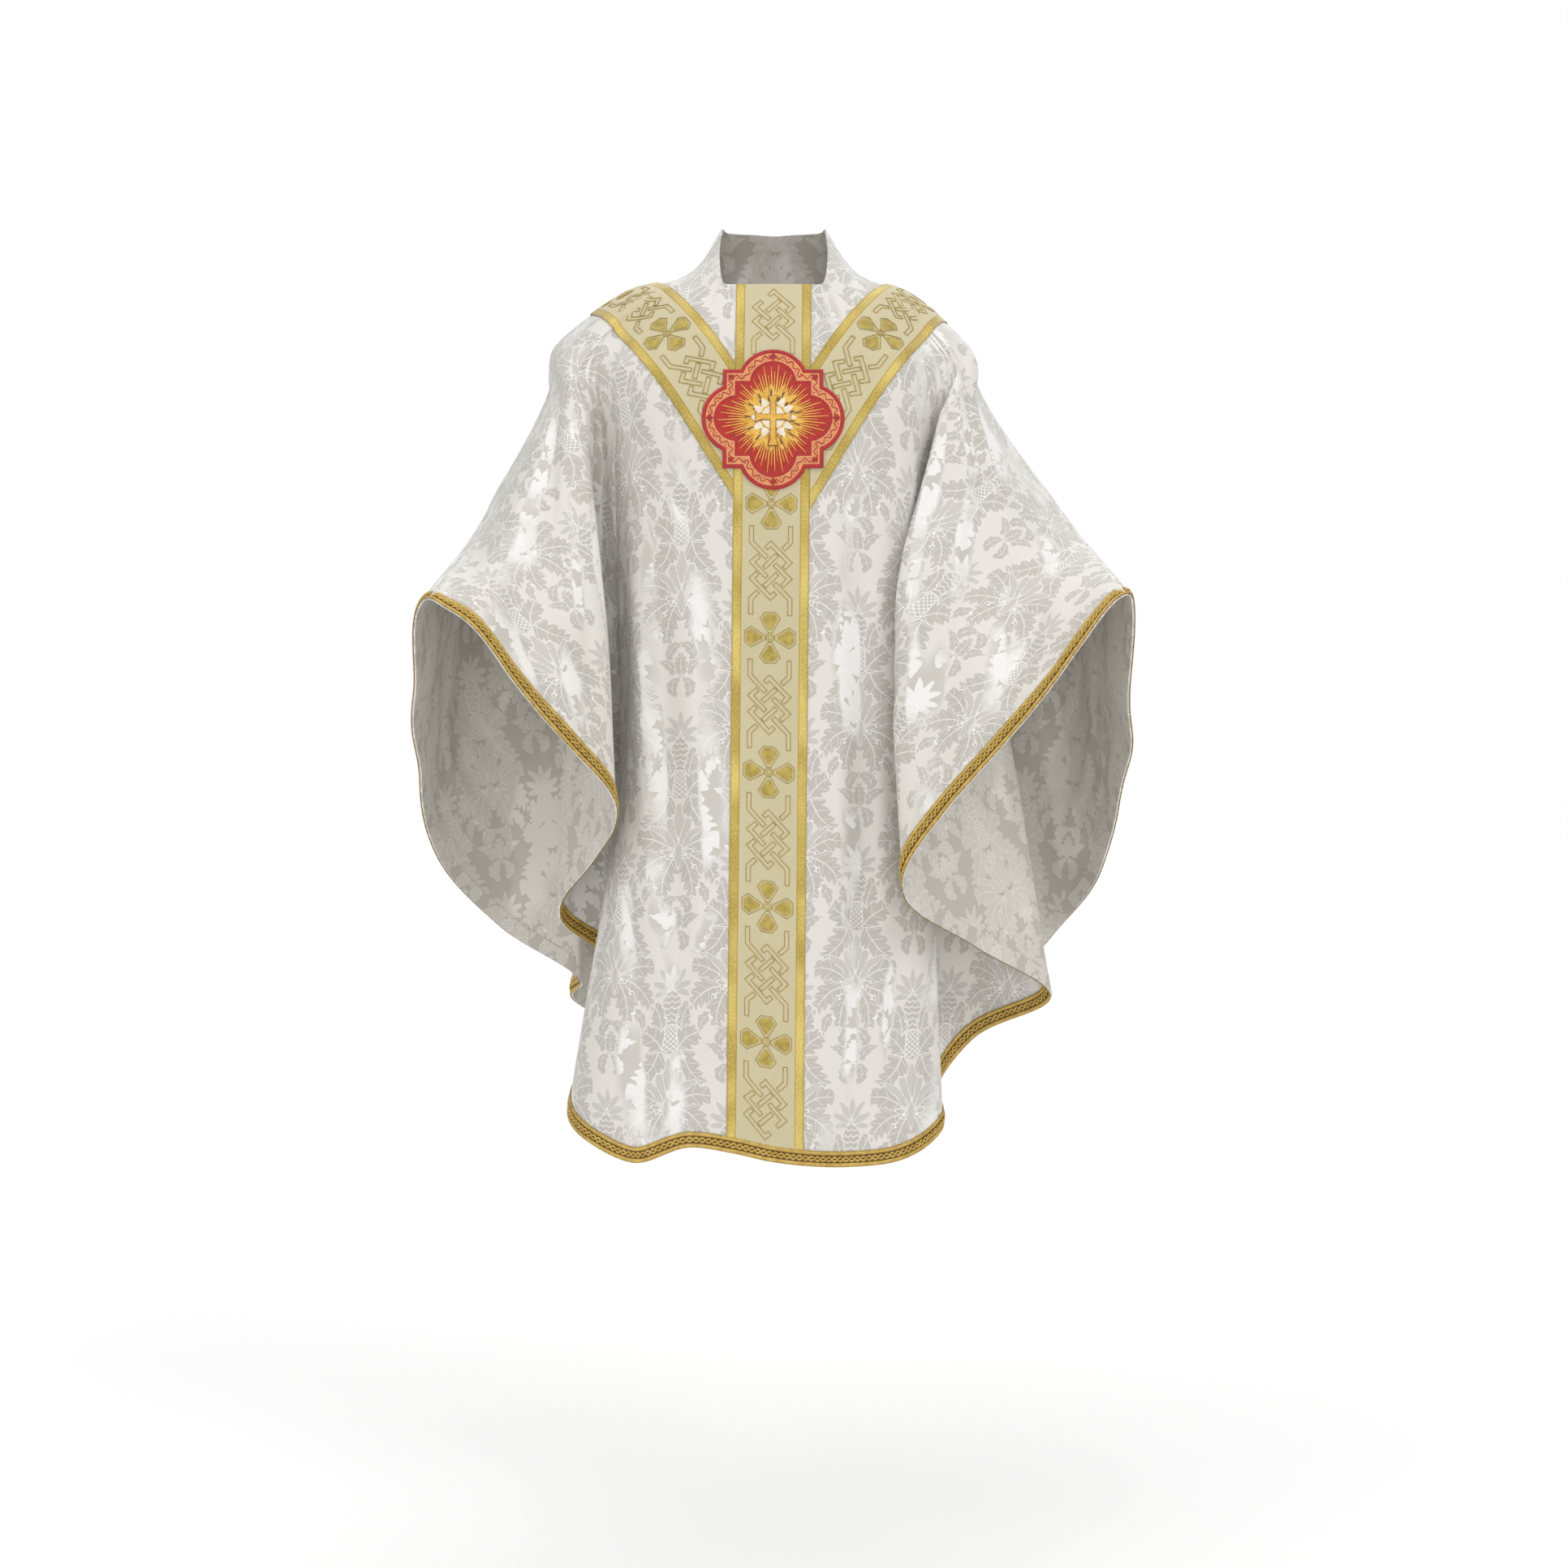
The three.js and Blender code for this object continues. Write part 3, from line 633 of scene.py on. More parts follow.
class Thread:
    """Wraps a socket of a finish, so that arithmetic on it adds nodes."""

    def __init__(self, tree, socket=None):
        self.tree, self.socket = tree, socket

    def node(self, kind, settings=None, inputs=None, out=0):
        made = self.tree.nodes.new(kind)
        for key, value in (settings or {}).items():
            setattr(made, key, value)
        for key, value in (inputs or {}).items():
            if isinstance(value, Thread):
                self.tree.links.new(value.socket, made.inputs[key])
            else:
                made.inputs[key].default_value = value
        return Thread(self.tree, made.outputs[out])

    def other(self, name):
        """Another output of the same node."""
        return Thread(self.tree, self.socket.node.outputs[name])

    def maths(self, operation, *values):
        return self.node("ShaderNodeMath", {"operation": operation}, dict(enumerate(values)))

    def __add__(self, other):
        return self.maths("ADD", self, other)

    __radd__ = __add__

    def __sub__(self, other):
        return self.maths("SUBTRACT", self, other)

    def __rsub__(self, other):
        return self.maths("SUBTRACT", other, self)

    def __mul__(self, other):
        return self.maths("MULTIPLY", self, other)

    __rmul__ = __mul__

    def __truediv__(self, other):
        return self.maths("DIVIDE", self, other)

    def __lt__(self, other):
        return self.maths("LESS_THAN", self, other)

    def __gt__(self, other):
        return self.maths("GREATER_THAN", self, other)

    def __abs__(self):
        return self.maths("ABSOLUTE", self)

    def least(self, other):
        return self.maths("MINIMUM", self, other)

    def most(self, other):
        return self.maths("MAXIMUM", self, other)

    def soft(self, start, end):
        """0 at start, 1 at end, smooth between."""
        return self.node(
            "ShaderNodeMapRange",
            {"interpolation_type": "SMOOTHSTEP"},
            {"Value": self, "From Min": start, "From Max": end},
        )

    def tint(self, first, second):
        """This number as the share of the second colour over the first."""
        return self.node("ShaderNodeMix", {"data_type": "RGBA"}, {0: self, 6: first, 7: second}, out=2)

    def noise(self, scale, detail=2.0):
        return self.node(
            "ShaderNodeTexNoise", {}, {"Vector": self, "Scale": scale, "Detail": detail, "Roughness": 0.5}
        )


def finish(name, **constants):
    """A material with one Principled shader, and its tree as a bare thread."""
    material = bpy.data.materials.new(name)
    material.use_nodes = True
    shader = material.node_tree.nodes["Principled BSDF"]
    for key, value in constants.items():
        shader.inputs[key.replace("_", " ")].default_value = value
    return material, shader, Thread(material.node_tree)


def wire(shader, name, thread):
    thread.tree.links.new(thread.socket, shader.inputs[name])


def rgb(r, g, b):
    """A colour given as the eye sees it, 0 to 255."""
    return tuple((c / 255 / 12.92 if c < 10.3 else ((c / 255 + 0.055) / 1.055) ** 2.4) for c in (r, g, b)) + (1.0,)


# Damask: the figures right of an upright axis, mirrored on it, in millimetres: drawing, centre, half sizes,
# lean in degrees and bend, and for leaves the number of lobes on each side and their depth
LEAF, STRIPES, LATTICE, SCALES = "leaf", "stripes", "lattice", "scales"
FIGURES = [
    (LATTICE, 0, 0, 12, 20, 0, 0),
    (SCALES, 0, 41, 12, 25, 0, 0),
    (STRIPES, 0, 82, 3.6, 15, 0, 0),
    (STRIPES, 8, 79, 3.8, 15, -32, 0.4),
    (STRIPES, 14, 70, 3.8, 14, -64, 0.5),
    (STRIPES, 15, 60, 3.4, 11, -98, 0.5),
    (LEAF, 18, 34, 9.5, 23, -22, 0.5, 4, 0.4),
    (LEAF, 26, 4, 13, 27, -52, 0.6, 4, 0.42),
    (LEAF, 25, -34, 14, 27, -142, -0.55, 4, 0.42),
    (STRIPES, 0, -48, 7.5, 25, 0, 0),
    (STRIPES, 11, -54, 5, 27, -22, 0.5),
    (STRIPES, 22, -62, 5, 25, -46, 0.7),
    (STRIPES, 0, -92, 5, 20, 0, 0),
    (LEAF, 37, -70, 13, 27, -78, 0.7, 4, 0.4),
    (LEAF, 34, -101, 14, 28, -128, 0.6, 5, 0.42),
    (LEAF, 15, -116, 13, 31, -164, 0.6, 5, 0.42),
    (LEAF, 36, -136, 6, 15, -150, 0.9, 3, 0.35),
    (LEAF, 11, -152, 7, 14, 40, -0.9, 3, 0.3),
    (LEAF, 0, -172, 8, 15, 0, 0, 4, 0.45),
    (LEAF, 18, -172, 5.5, 14, -50, 0.9, 3, 0.3),
    (LEAF, 10, -199, 6.5, 14, 18, -1.0, 3, 0.3),
]
AXIS_STEP = 78.0
REPEAT = 328.0
WIDEST_AT = -75.0
LOWEST = 216.0


def of(operation, thread):
    """One-value maths on a thread."""
    return thread.maths(operation, thread)


def sine(thread):
    return abs(of("SINE", thread))


def apart(place):
    """The X of a place; its Y is the same node's other output."""
    return place.node("ShaderNodeSeparateXYZ", {}, {0: place})


def figure_drawing(kind, across, rise, rx, ry, lobes=0, depth=0.0):
    """Measure of a figure, 1 at its edge, and the strength of the fine lines in it."""
    far = across.node("ShaderNodeCombineXYZ", {}, {0: across, 1: rise})
    far = far.node("ShaderNodeVectorMath", {"operation": "LENGTH"}, {0: far}, out="Value")
    from_rib = abs(across)
    if kind == LEAF:
        wave = rise * (lobes * 1.57) - from_rib * (lobes * 0.6)
        far = far + (0.62 - sine(wave)) * depth
        veins = (1 - abs(of("COSINE", wave)).soft(0.04, 0.13)) * (1 - far.soft(0.75, 0.9)) * 0.8
        rib = (1 - from_rib.soft(0.025, 0.065)) * (1 - far.soft(0.7, 0.85)) * 0.8
        return far, veins.most(rib)
    if kind == STRIPES:
        return far, (1 - sine(across * 9).soft(0.15, 0.4)) * (1 - far.soft(0.85, 0.95))
    if kind == LATTICE:
        slant = sine(across * (rx / 2) + rise * (ry / 2)).least(sine(across * (rx / 2) - rise * (ry / 2)))
        return far, (1 - slant.soft(0.2, 0.45)) * (1 - far.soft(0.8, 0.9))
    scale = sine(rise * (ry * 0.42) + sine(across * (rx * 0.42)) * 1.2)
    return far, (1 - scale.soft(0.15, 0.4)) * (1 - far.soft(0.88, 0.96))


def damask_figures(lay):
    """The pattern at each place: the nearest figure's measure, the next one's, and the lines in the nearest."""
    x = apart(lay)
    x, y = x * 1000, x.other("Y") * 1000
    period = 2 * AXIS_STEP
    across = abs(x - of("FLOOR", x / period + 0.5) * period)
    swing = (y - WIDEST_AT) * (2 * math.pi / REPEAT)
    half_width = AXIS_STEP / 2 + of("COSINE", swing) * 20 - of("COSINE", swing * 3) * 5
    other_axis = across > half_width
    side = across + other_axis * (AXIS_STEP - across * 2)
    height = y + other_axis * (REPEAT / 2) + LOWEST
    height = height - of("FLOOR", height / REPEAT) * REPEAT - LOWEST
    nearest, second, lines = None, None, None
    for kind, cx, cy, rx, ry, lean, bend, *lobes in FIGURES:
        # the third coordinate is unused: it makes the figures wait for each other, which saves working memory
        spot = side.node("ShaderNodeCombineXYZ", {}, {0: side, 1: height, 2: nearest or 0.0})
        inside = spot.node(
            "ShaderNodeMapping",
            {"vector_type": "TEXTURE"},
            {"Vector": spot, "Location": (cx, cy, 0), "Rotation": (0, 0, math.radians(lean)), "Scale": (rx, ry, 1)},
        )
        part = apart(inside)
        rise = part.other("Y")
        if bend:
            part = part - rise * rise * bend + bend * 0.3
        part = part / (1.12 - rise * 0.34)
        far, drawn = figure_drawing(kind, part, rise, rx, ry, *lobes)
        if nearest is None:
            nearest, second, lines = far, far + 5, drawn
            continue
        second = second.least(nearest.most(far))
        lines = far.node("ShaderNodeMix", {"data_type": "FLOAT"}, {0: far < nearest, 2: lines, 3: drawn})
        nearest = nearest.least(far)
    return nearest, second, lines


def ridges(place, scale, distortion):
    """Fine slanting ridges of thread."""
    return place.node(
        "ShaderNodeTexWave",
        {"wave_type": "BANDS", "bands_direction": "DIAGONAL"},
        {"Vector": place, "Scale": scale, "Distortion": distortion, "Detail": 1.0},
        out=1,
    )


def relief(shader, height, strength, distance):
    """Fine relief of the thread, for the light alone."""
    inputs = {"Strength": strength, "Distance": distance, "Height": height}
    wire(shader, "Normal", height.node("ShaderNodeBump", {}, inputs))


def damask(name, ground, figure, line, roughness_ground, roughness_figure, strength):
    """Satin figures on a plain ground, with fine lines in them and round them, and a painted sheen."""
    material, shader, tree = finish(name, Sheen_Weight=0.2, Sheen_Roughness=0.45, Specular_IOR_Level=0.4)
    lay = tree.node("ShaderNodeUVMap", {"uv_map": "lay"})
    wander = lay.node("ShaderNodeTexNoise", {}, {"Vector": lay, "Scale": 45.0, "Detail": 1.0}, out="Color")
    soft_lay = wander.node("ShaderNodeVectorMath", {"operation": "MULTIPLY_ADD"}, {0: wander, 1: (0.004,) * 3, 2: lay})
    nearest, second, drawn = damask_figures(soft_lay)
    inside = 1 - nearest.soft(0.97, 1.01)
    rim = nearest.soft(0.88, 0.93) * (1 - nearest.soft(0.985, 1.03)) * 0.5
    parting = (1 - (second - nearest).soft(0.05, 0.12)) * (1 - nearest.soft(0.92, 1.0))
    lines = rim.most(parting).most(drawn)
    # painted sheen: satin and ground are painted lighter in soft patches, and where a fold turns them to the light
    turned = tree.node("ShaderNodeAttribute", {"attribute_name": "fold_turn"}, {}, out="Fac")
    painted_sheen = (lay.noise(8.0) * 2.4 - 1.2 + turned * 0.7).soft(0.2, 0.7)
    satin = painted_sheen.tint(figure, tuple(0.15 * f + 0.85 * l for f, l in zip(figure, line)))
    plain = painted_sheen.tint(ground, tuple(0.25 * g + 0.75 * f for g, f in zip(ground, figure)))
    wire(shader, "Base Color", (lines * strength).tint(inside.tint(plain, satin), line))
    wire(shader, "Roughness", inside * (roughness_figure - roughness_ground) - lines * 0.1 + roughness_ground)
    relief(shader, ridges(lay, 520.0, 1.0), 0.12, 0.0004)
    return material


DAMASK = damask(
    "white_damask_right_side", rgb(222, 218, 211), rgb(191, 187, 179), rgb(242, 240, 237), 0.42, 0.5, 0.85
)
WRONG_SIDE = damask(
    "white_damask_wrong_side", rgb(189, 183, 173), rgb(206, 201, 192), rgb(232, 228, 221), 0.7, 0.62, 0.7
)


BORDER_AT = (36.6, 37.0)  # across the galloon from its middle, in millimetres
PIPING_AT = 37.8
SELVEDGE_AT = (47.2, 47.8)


def band_finish():
    """Galloon: beige woven field between two metallic gold borders."""
    material, shader, tree = finish("galloon_beige_and_gold", Sheen_Weight=0.15)
    lay = tree.node("ShaderNodeUVMap", {"uv_map": "lay"})
    across = apart(lay)
    across, along = abs(across * 1000), across.other("Y") * 1000
    gold = across.soft(*BORDER_AT)
    piping = gold * (1 - abs(across - PIPING_AT).soft(0.5, 0.9)).most(across.soft(*SELVEDGE_AT))
    patch = lay.noise(14.0, 1.0).soft(0.3, 0.7) * 0.6 + lay.noise(420.0, 1.0).soft(0.3, 0.7) * 0.4
    twill = of("SINE", along * 2.6 + across * 2.6) * 0.5 + 0.5
    beige = (twill * 0.35 + patch * 0.25).tint(rgb(206, 195, 158), rgb(188, 176, 138))
    lame = patch.tint(rgb(160, 136, 56), rgb(220, 198, 116))
    lame = (piping * 0.6).tint(lame, rgb(160, 130, 48))
    wire(shader, "Base Color", gold.tint(beige, lame))
    wire(shader, "Metallic", gold * 0.55)
    wire(shader, "Roughness", 0.62 - gold * 0.2 + patch * 0.06)
    relief(shader, of("SINE", along * 5.2) * 0.4 + twill * 0.4, 0.25, 0.0003)
    return material


def thread_finish(name, dark, light, metallic, rough, scale=900.0, **constants):
    """Stitched or woven thread that runs in fine ridges, with painted shade in the grooves, painted highlight on the
    tops and random patches of tone.
    """
    material, shader, tree = finish(name, Metallic=metallic, **constants)
    place = tree.node("ShaderNodeTexCoord", {}, {}, out="Object")
    height = ridges(place, scale, 1.5)
    patch = place.noise(120.0).soft(0.3, 0.7)
    # painted shade and highlight: the colour follows the ridges' height, dark in the grooves and light on the tops;
    # the patches are random tone
    wire(shader, "Base Color", (height * 0.5 + patch * 0.5).tint(dark, light))
    wire(shader, "Roughness", rough + 0.12 * patch)
    relief(shader, height, 0.35, 0.0004)
    return material


GALLOON = band_finish()
FIGURE_GOLD = thread_finish("galloon_figure_gold", rgb(142, 122, 48), rgb(206, 184, 98), 0.45, 0.42)
LINE_GOLD = thread_finish("galloon_outline_gold", rgb(146, 122, 60), rgb(186, 164, 92), 0.35, 0.5)
BRAID_GOLD = thread_finish("braid_gold_thread", rgb(176, 142, 62), rgb(224, 192, 108), 0.4, 0.4)
# the braid's ground tape: its own colour, darkened further as painted shade for the gaps between the cords
BRAID_GROUND_AND_SHADE = thread_finish("braid_ground_and_shade", rgb(92, 68, 24), rgb(132, 102, 42), 0.2, 0.6)
BEAD_GOLD = thread_finish("braid_bright_gold", rgb(214, 176, 84), rgb(246, 220, 140), 0.6, 0.28)
RED_STITCH = thread_finish("embroidery_red", rgb(150, 14, 18), rgb(196, 30, 30), 0.0, 0.42, 700.0, Sheen_Weight=0.2)
RED_FIELD = thread_finish("embroidery_field_red", rgb(160, 20, 18), rgb(190, 40, 28), 0.0, 0.5, 500.0)
PEACH_STITCH = thread_finish("embroidery_peach", rgb(214, 134, 84), rgb(236, 172, 116), 0.0, 0.45, 600.0)
GOLD_STITCH = thread_finish("embroidery_gold", rgb(206, 146, 40), rgb(242, 200, 96), 0.2, 0.38)
CREAM_STITCH = thread_finish("embroidery_cream", rgb(226, 210, 176), rgb(248, 240, 220), 0.0, 0.45)
BROWN_STITCH = thread_finish("embroidery_brown", rgb(96, 66, 36), rgb(140, 100, 54), 0.0, 0.5)
SEWING_THREAD = thread_finish("sewing_thread", rgb(214, 206, 192), rgb(236, 230, 220), 0.0, 0.6)


def sew_on(piece, slot, *nodes):
    """A finished piece rides with the garment and stands for its solids."""
    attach(piece, "root")
    if nodes:
        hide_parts(*nodes)
    return piece


# ---------------------------------------------------------------- panels
TURN_REACH = 9  # columns to either side
TURN_GAIN, MOST_TURNED = 5, 0.8


def fold_turn(normals):
    """How far each place is turned aside from the cloth round it, by the folds and creases; it places the damask's
    painted sheen.
    """
    across = normals[..., 0]
    padded = np.pad(across, ((TURN_REACH, TURN_REACH), (0, 0)), "edge")
    window = 2 * TURN_REACH + 1
    around = sum(padded[k:k + len(across)] for k in range(window)) / window
    return np.clip((across - around) * TURN_GAIN, -MOST_TURNED, MOST_TURNED)


WALL = 0.9 * MM  # from the middle surface to either face
for _side in ("front", "back"):
    _piece = Piece()
    add_shell(_piece, worn[_side], worn_normal[_side], -WALL, WALL, lay_of[_side], 0, 1)
    _cloth = _piece.make(_side + "_panel_cloth", [DAMASK, WRONG_SIDE], sharp=60)
    # the turn is kept on the cloth to place the damask's painted sheen
    _turn = _cloth.data.attributes.new("fold_turn", "FLOAT", "POINT")
    _turn.data.foreach_set("value", np.tile(fold_turn(worn_normal[_side]).ravel(), 2).astype(np.float32))
    sew_on(_cloth, "damask", _side + "_panel")

# ---------------------------------------------------------------- galloon bands
BAND = 98 * MM
BAND_LOW, BAND_HIGH = 1.15 * MM, 2.0 * MM
ARM_LIFT = 0.0004  # the arms lie this much higher than the columns
ARMS_MEET = -0.262  # height at which the middles of the arms meet on the back
PAST_SHOULDER = 0.03  # farther back than this, an arm starts to turn
BEHIND = 0.05  # farther back than this, it is behind the shoulder
BRAID_WIDTH = 19 * MM
REPEAT_GALLOON = 172 * MM
ACROSS = np.linspace(-BAND / 2, BAND / 2, 21)
COLUMN_ROWS, ARM_ROWS = 150, 170
NECK_GAP, UNDER_BRAID = 0.5 * MM, 1 * MM  # a column starts below the neck edge and ends under the braid
COLUMN_REACH = 34  # grid columns of the panel to either side of its middle
# across and height of the middle of each column, at its top and at its foot
COLUMN_ENDS = {"front": ((0.001, -0.020), (-0.011, -1.230)), "back": ((0.0, 0.090), (-0.004, -1.150))}


def column_x(side, z):
    """Where the middle of a column is at a height."""
    top, foot = COLUMN_ENDS[side]
    return top[0] + (top[1] - z) / (top[1] - foot[1]) * (foot[0] - top[0])


def band_strip(grid):
    return Strip(ACROSS, run_along(grid[len(ACROSS) // 2]), grid)


def column_strip(side, line_number):
    """The upright band, from the neck edge to the braid. Places across it run left to right as it is worn."""
    points = worn[side]
    middle = int(np.argmin(abs(AROUND[side] - around_at(line_number))))
    window = slice(middle - COLUMN_REACH, middle + COLUMN_REACH + 1)
    rows = []
    for j in range(points.shape[1]):
        line = points[window, j]
        line = line[np.argsort(line[:, 0])]
        wanted = column_x(side, np.interp(0, line[:, 0], line[:, 2])) + ACROSS
        rows.append(np.stack([np.interp(wanted, line[:, 0], line[:, k]) for k in range(3)], axis=1))
    grid = np.array(rows).transpose(1, 0, 2)
    return band_strip(grid if side == "front" else grid[::-1])


columns = {"front": column_strip("front", 0), "back": column_strip("back", BACK_MIDDLE)}


def trimmed(strip, start, end, rows):
    """The part of a strip between two places along it, which may differ across it."""
    share = np.linspace(0, 1, rows)
    start, end = np.broadcast_to(start, strip.across.shape), np.broadcast_to(end, strip.across.shape)
    along = start[:, None] + (end - start)[:, None] * share
    across = np.broadcast_to(strip.across[:, None], along.shape)
    return strip.at(across, along), np.stack([across, along], axis=2)


def sew_band(name, points, lay, lift, *nodes):
    """A galloon band over the cloth."""
    piece = Piece()
    add_shell(piece, points, facing(points), BAND_LOW + lift, BAND_HIGH + lift, lay)
    return sew_on(piece.make(name + "_galloon", [GALLOON]), "galloon", *nodes)


for _side, _strip in columns.items():
    _name = _side + "_column"
    _points, _lay = trimmed(_strip, NECK_GAP, _strip.along[-1] - BRAID_WIDTH + UNDER_BRAID, COLUMN_ROWS)
    sew_band(_name, _points, _lay, 0.0, _name)


def surface_near(p):
    spot, normal, _, _ = worn_tree.find_nearest(Vector(p))
    return np.array(spot), np.array(normal)


def walk(start, way, step, count, turn=0.0):
    """Points and ways of a walk over the cloth, straight but for an even turn behind the shoulders."""
    p, n = surface_near(start)
    way = unit(way - n * (way @ n))
    points, ways = [p], [way]
    for _ in range(count):
        q, m = surface_near(p + way * step)
        m = m if m @ n > 0 else -m
        n = unit(0.5 * n + 0.5 * m)
        way = unit(q - p) * 0.5 + way * 0.5
        if q[1] > PAST_SHOULDER:
            way = way + np.cross(n, way) * (turn * step)
        way = unit(way - n * (way @ n))
        p = q
        points.append(p)
        ways.append(way)
    return np.array(points), np.array(ways)


WALK_STEP = 0.006
STEPS_UP, STEPS_DOWN, STEPS_UNDER = 230, 26, 22
MOST_TURN = 4.0
HALVINGS = 14


def arm_strip(lower, upper):
    """A slanting band, laid straight over the shoulder from the front column to the back one."""
    ends = [np.array(seen_on(worn_tree, place)) for place in (lower, upper)]
    way = unit(ends[1] - ends[0])

    def meeting(turn):
        """The walk with this turn, and how high it meets the back column."""
        points, ways = walk(ends[0], way, WALK_STEP, STEPS_UP, turn)
        behind = np.flatnonzero((points[:, 1] > BEHIND) & (np.sign(points[:, 0]) != np.sign(points[6, 0])))
        last = behind[0] if len(behind) else len(points) - 1
        return points, ways, last, points[last][2]

    inward = 1.0 if ends[1][0] > 0 else -1.0
    low, high = -MOST_TURN, MOST_TURN
    for _ in range(HALVINGS):
        turn = (low + high) / 2
        if meeting(turn * inward)[3] < ARMS_MEET:
            low = turn
        else:
            high = turn
    up, ways, last, _ = meeting(turn * inward)
    down, back_ways = walk(ends[0], -way, WALK_STEP, STEPS_DOWN)
    centre = np.concatenate([down[:0:-1], up])
    directions = np.concatenate([-back_ways[:0:-1], ways])
    stop = min(len(centre), last + len(down) - 1 + STEPS_UNDER)
    cells = (len(ACROSS) - 1) // 2
    grid = []
    for p, d in zip(centre[:stop], directions[:stop]):
        side = unit(np.cross(d, surface_near(p)[1]))
        left, right = (walk(p, way_out, BAND / 2 / cells / 2, cells * 2)[0] for way_out in (-side, side))
        grid.append(np.concatenate([right[::-2], left[2::2]]))
    grid = np.array(grid).transpose(1, 0, 2)
    for _ in range(3):
        inner = grid[:, 1:-1] * 0.5 + (grid[:, :-2] + grid[:, 2:]) * 0.25
        grid = np.concatenate([grid[:, :1], inner, grid[:, -1:]], axis=1)
    for place in np.ndindex(grid.shape[:2]):
        spot, normal = surface_near(grid[place])
        grid[place] -= normal * min(0.0, float((grid[place] - spot) @ normal))
    return band_strip(grid)


FREE = 0.0004  # how far outside a column's edge an arm ends
DEEPEST = 0.01  # a place farther below the cloth than this belongs to another fold


def free_length(strip):
    """Where each thread along an arm comes out from the front column and goes under the back one."""
    start, end = [], []
    for line in strip.points:
        off = np.array([abs(p[0] - column_x("front" if p[1] < 0 else "back", p[2])) for p in line]) - BAND / 2
        hidden = ~(off > FREE)
        last = len(line) - 1
        crossing = np.flatnonzero(hidden & (line[:, 1] < 0))
        a = int(crossing[-1]) + 1 if len(crossing) else 0
        under = np.flatnonzero(hidden & (line[:, 1] > BEHIND) & (np.arange(len(line)) > a))
        b = int(under[0]) - 1 if len(under) else last
        start.append(strip.along[a] if a == 0 else np.interp(FREE, off[a - 1:a + 1], strip.along[a - 1:a + 1]))
        end.append(strip.along[b] if b == last else np.interp(-FREE, -off[b:b + 2], strip.along[b:b + 2]))
    return np.array(start), np.array(end)


def above_cloth(points):
    """Raises a grid of points where the cloth would come through it."""
    points = points.copy()
    for _ in range(2):
        corners = (points[:-1, :-1] + points[1:, :-1] + points[:-1, 1:] + points[1:, 1:]) / 4
        for place in np.ndindex(corners.shape[:2]):
            spot, normal = surface_near(corners[place])
            short = float((spot - corners[place]) @ normal)
            if 0 < short < DEEPEST:
                i, j = place
                points[i:i + 2, j:j + 2] += normal * short
    return points


arms = {"left": arm_strip((906, 529), (841, 431)), "right": arm_strip((1003, 529), (1066, 431))}
arm_ends = {}
for _side, _strip in arms.items():
    arm_ends[_side] = free_length(_strip)
    _points, _lay = trimmed(_strip, *arm_ends[_side], ARM_ROWS)
    _name = "arm_" + _side
    sew_band(_name, above_cloth(_points), _lay, ARM_LIFT, "front_" + _name, "back_" + _name)

# Ornament of the galloon, in millimetres across and along: the half of a knot that a half turn completes
KNOT_HALF = [
    [(-6, -28.5), (0, -34.5), (24, -10.5), (17, -3.5)],
    [(-25, -57), (-25, -36.5), (-5, -16.5)],
    [(8, -20.5), (-8.5, -4)],
    [(25, -57), (25, -36.5), (16, -27.5)],
    [(-15, -19), (-24, -10.5), (-5, 8)],
]
PETAL = [(2.4, 6), (13.2, 24.5), (7, 32.5), (-7, 32.5), (-13.2, 24.5), (-2.4, 6)]
PETAL_FILL = [(1.6, 9.5), (10.6, 24), (5.8, 30.4), (-5.8, 30.4), (-10.6, 24), (-1.6, 9.5)]
CROSS_RINGS = ((5.0, 0.6), (2.6, 0.5))  # radius and half width
FIGURE_LOW, FIGURE_HIGH = 1.6 * MM, 2.3 * MM
OUTLINE_HALF = 0.55 * MM
KNOT_BAND = 2.7
FIGURE_END = 0.001  # room left between a figure and a band's end
BACK_CROSS = 0.12  # where the first cross of the back column is, along it
ARM_FIGURE_LIFT = 0.9 * MM
COLUMN_ROOM = 0.002


def turned(path, quarter):
    c, s = [(1, 0), (0, 1), (-1, 0), (0, -1)][quarter % 4]
    return [(x * c - y * s, x * s + y * c) for x, y in path]


def towards(angle):
    return np.array([math.cos(angle), math.sin(angle)])


def left_of(way):
    return np.array([-way[1], way[0]])


def circle(count):
    """Points round a circle of radius 1."""
    return np.array([towards(angle) for angle in np.linspace(0, 2 * math.pi, count + 1)[:-1]])


def band_outline(path, half):
    """Closed outline round a bent band of the knot."""
    path = np.array(path, float)
    offset = side_steps(path) * half
    return np.concatenate([path + offset, (path - offset)[::-1]])


def add_cross(piece, strip, centre, low, high, keep):
    for quarter in range(4):
        shape, fill = (np.array(turned(path, quarter)) * MM + [0, centre] for path in (PETAL, PETAL_FILL))
        add_line(piece, strip.at, shape, OUTLINE_HALF, low, high, True, 1, keep=keep)
        add_plate(piece, strip.at, fill, low, high, 0, keep=keep)
    for radius, half in CROSS_RINGS:
        path = circle(12) * radius * MM + [0, centre]
        add_line(piece, strip.at, path, half * MM, low, high, True, 0, keep=keep)


def add_knot(piece, strip, centre, low, high, keep):
    for path in KNOT_HALF + [turned(path, 2) for path in KNOT_HALF]:
        outline = band_outline(path, KNOT_BAND) * MM + [0, centre]
        add_line(piece, strip.at, outline, OUTLINE_HALF, low, high, True, 1, keep=keep)


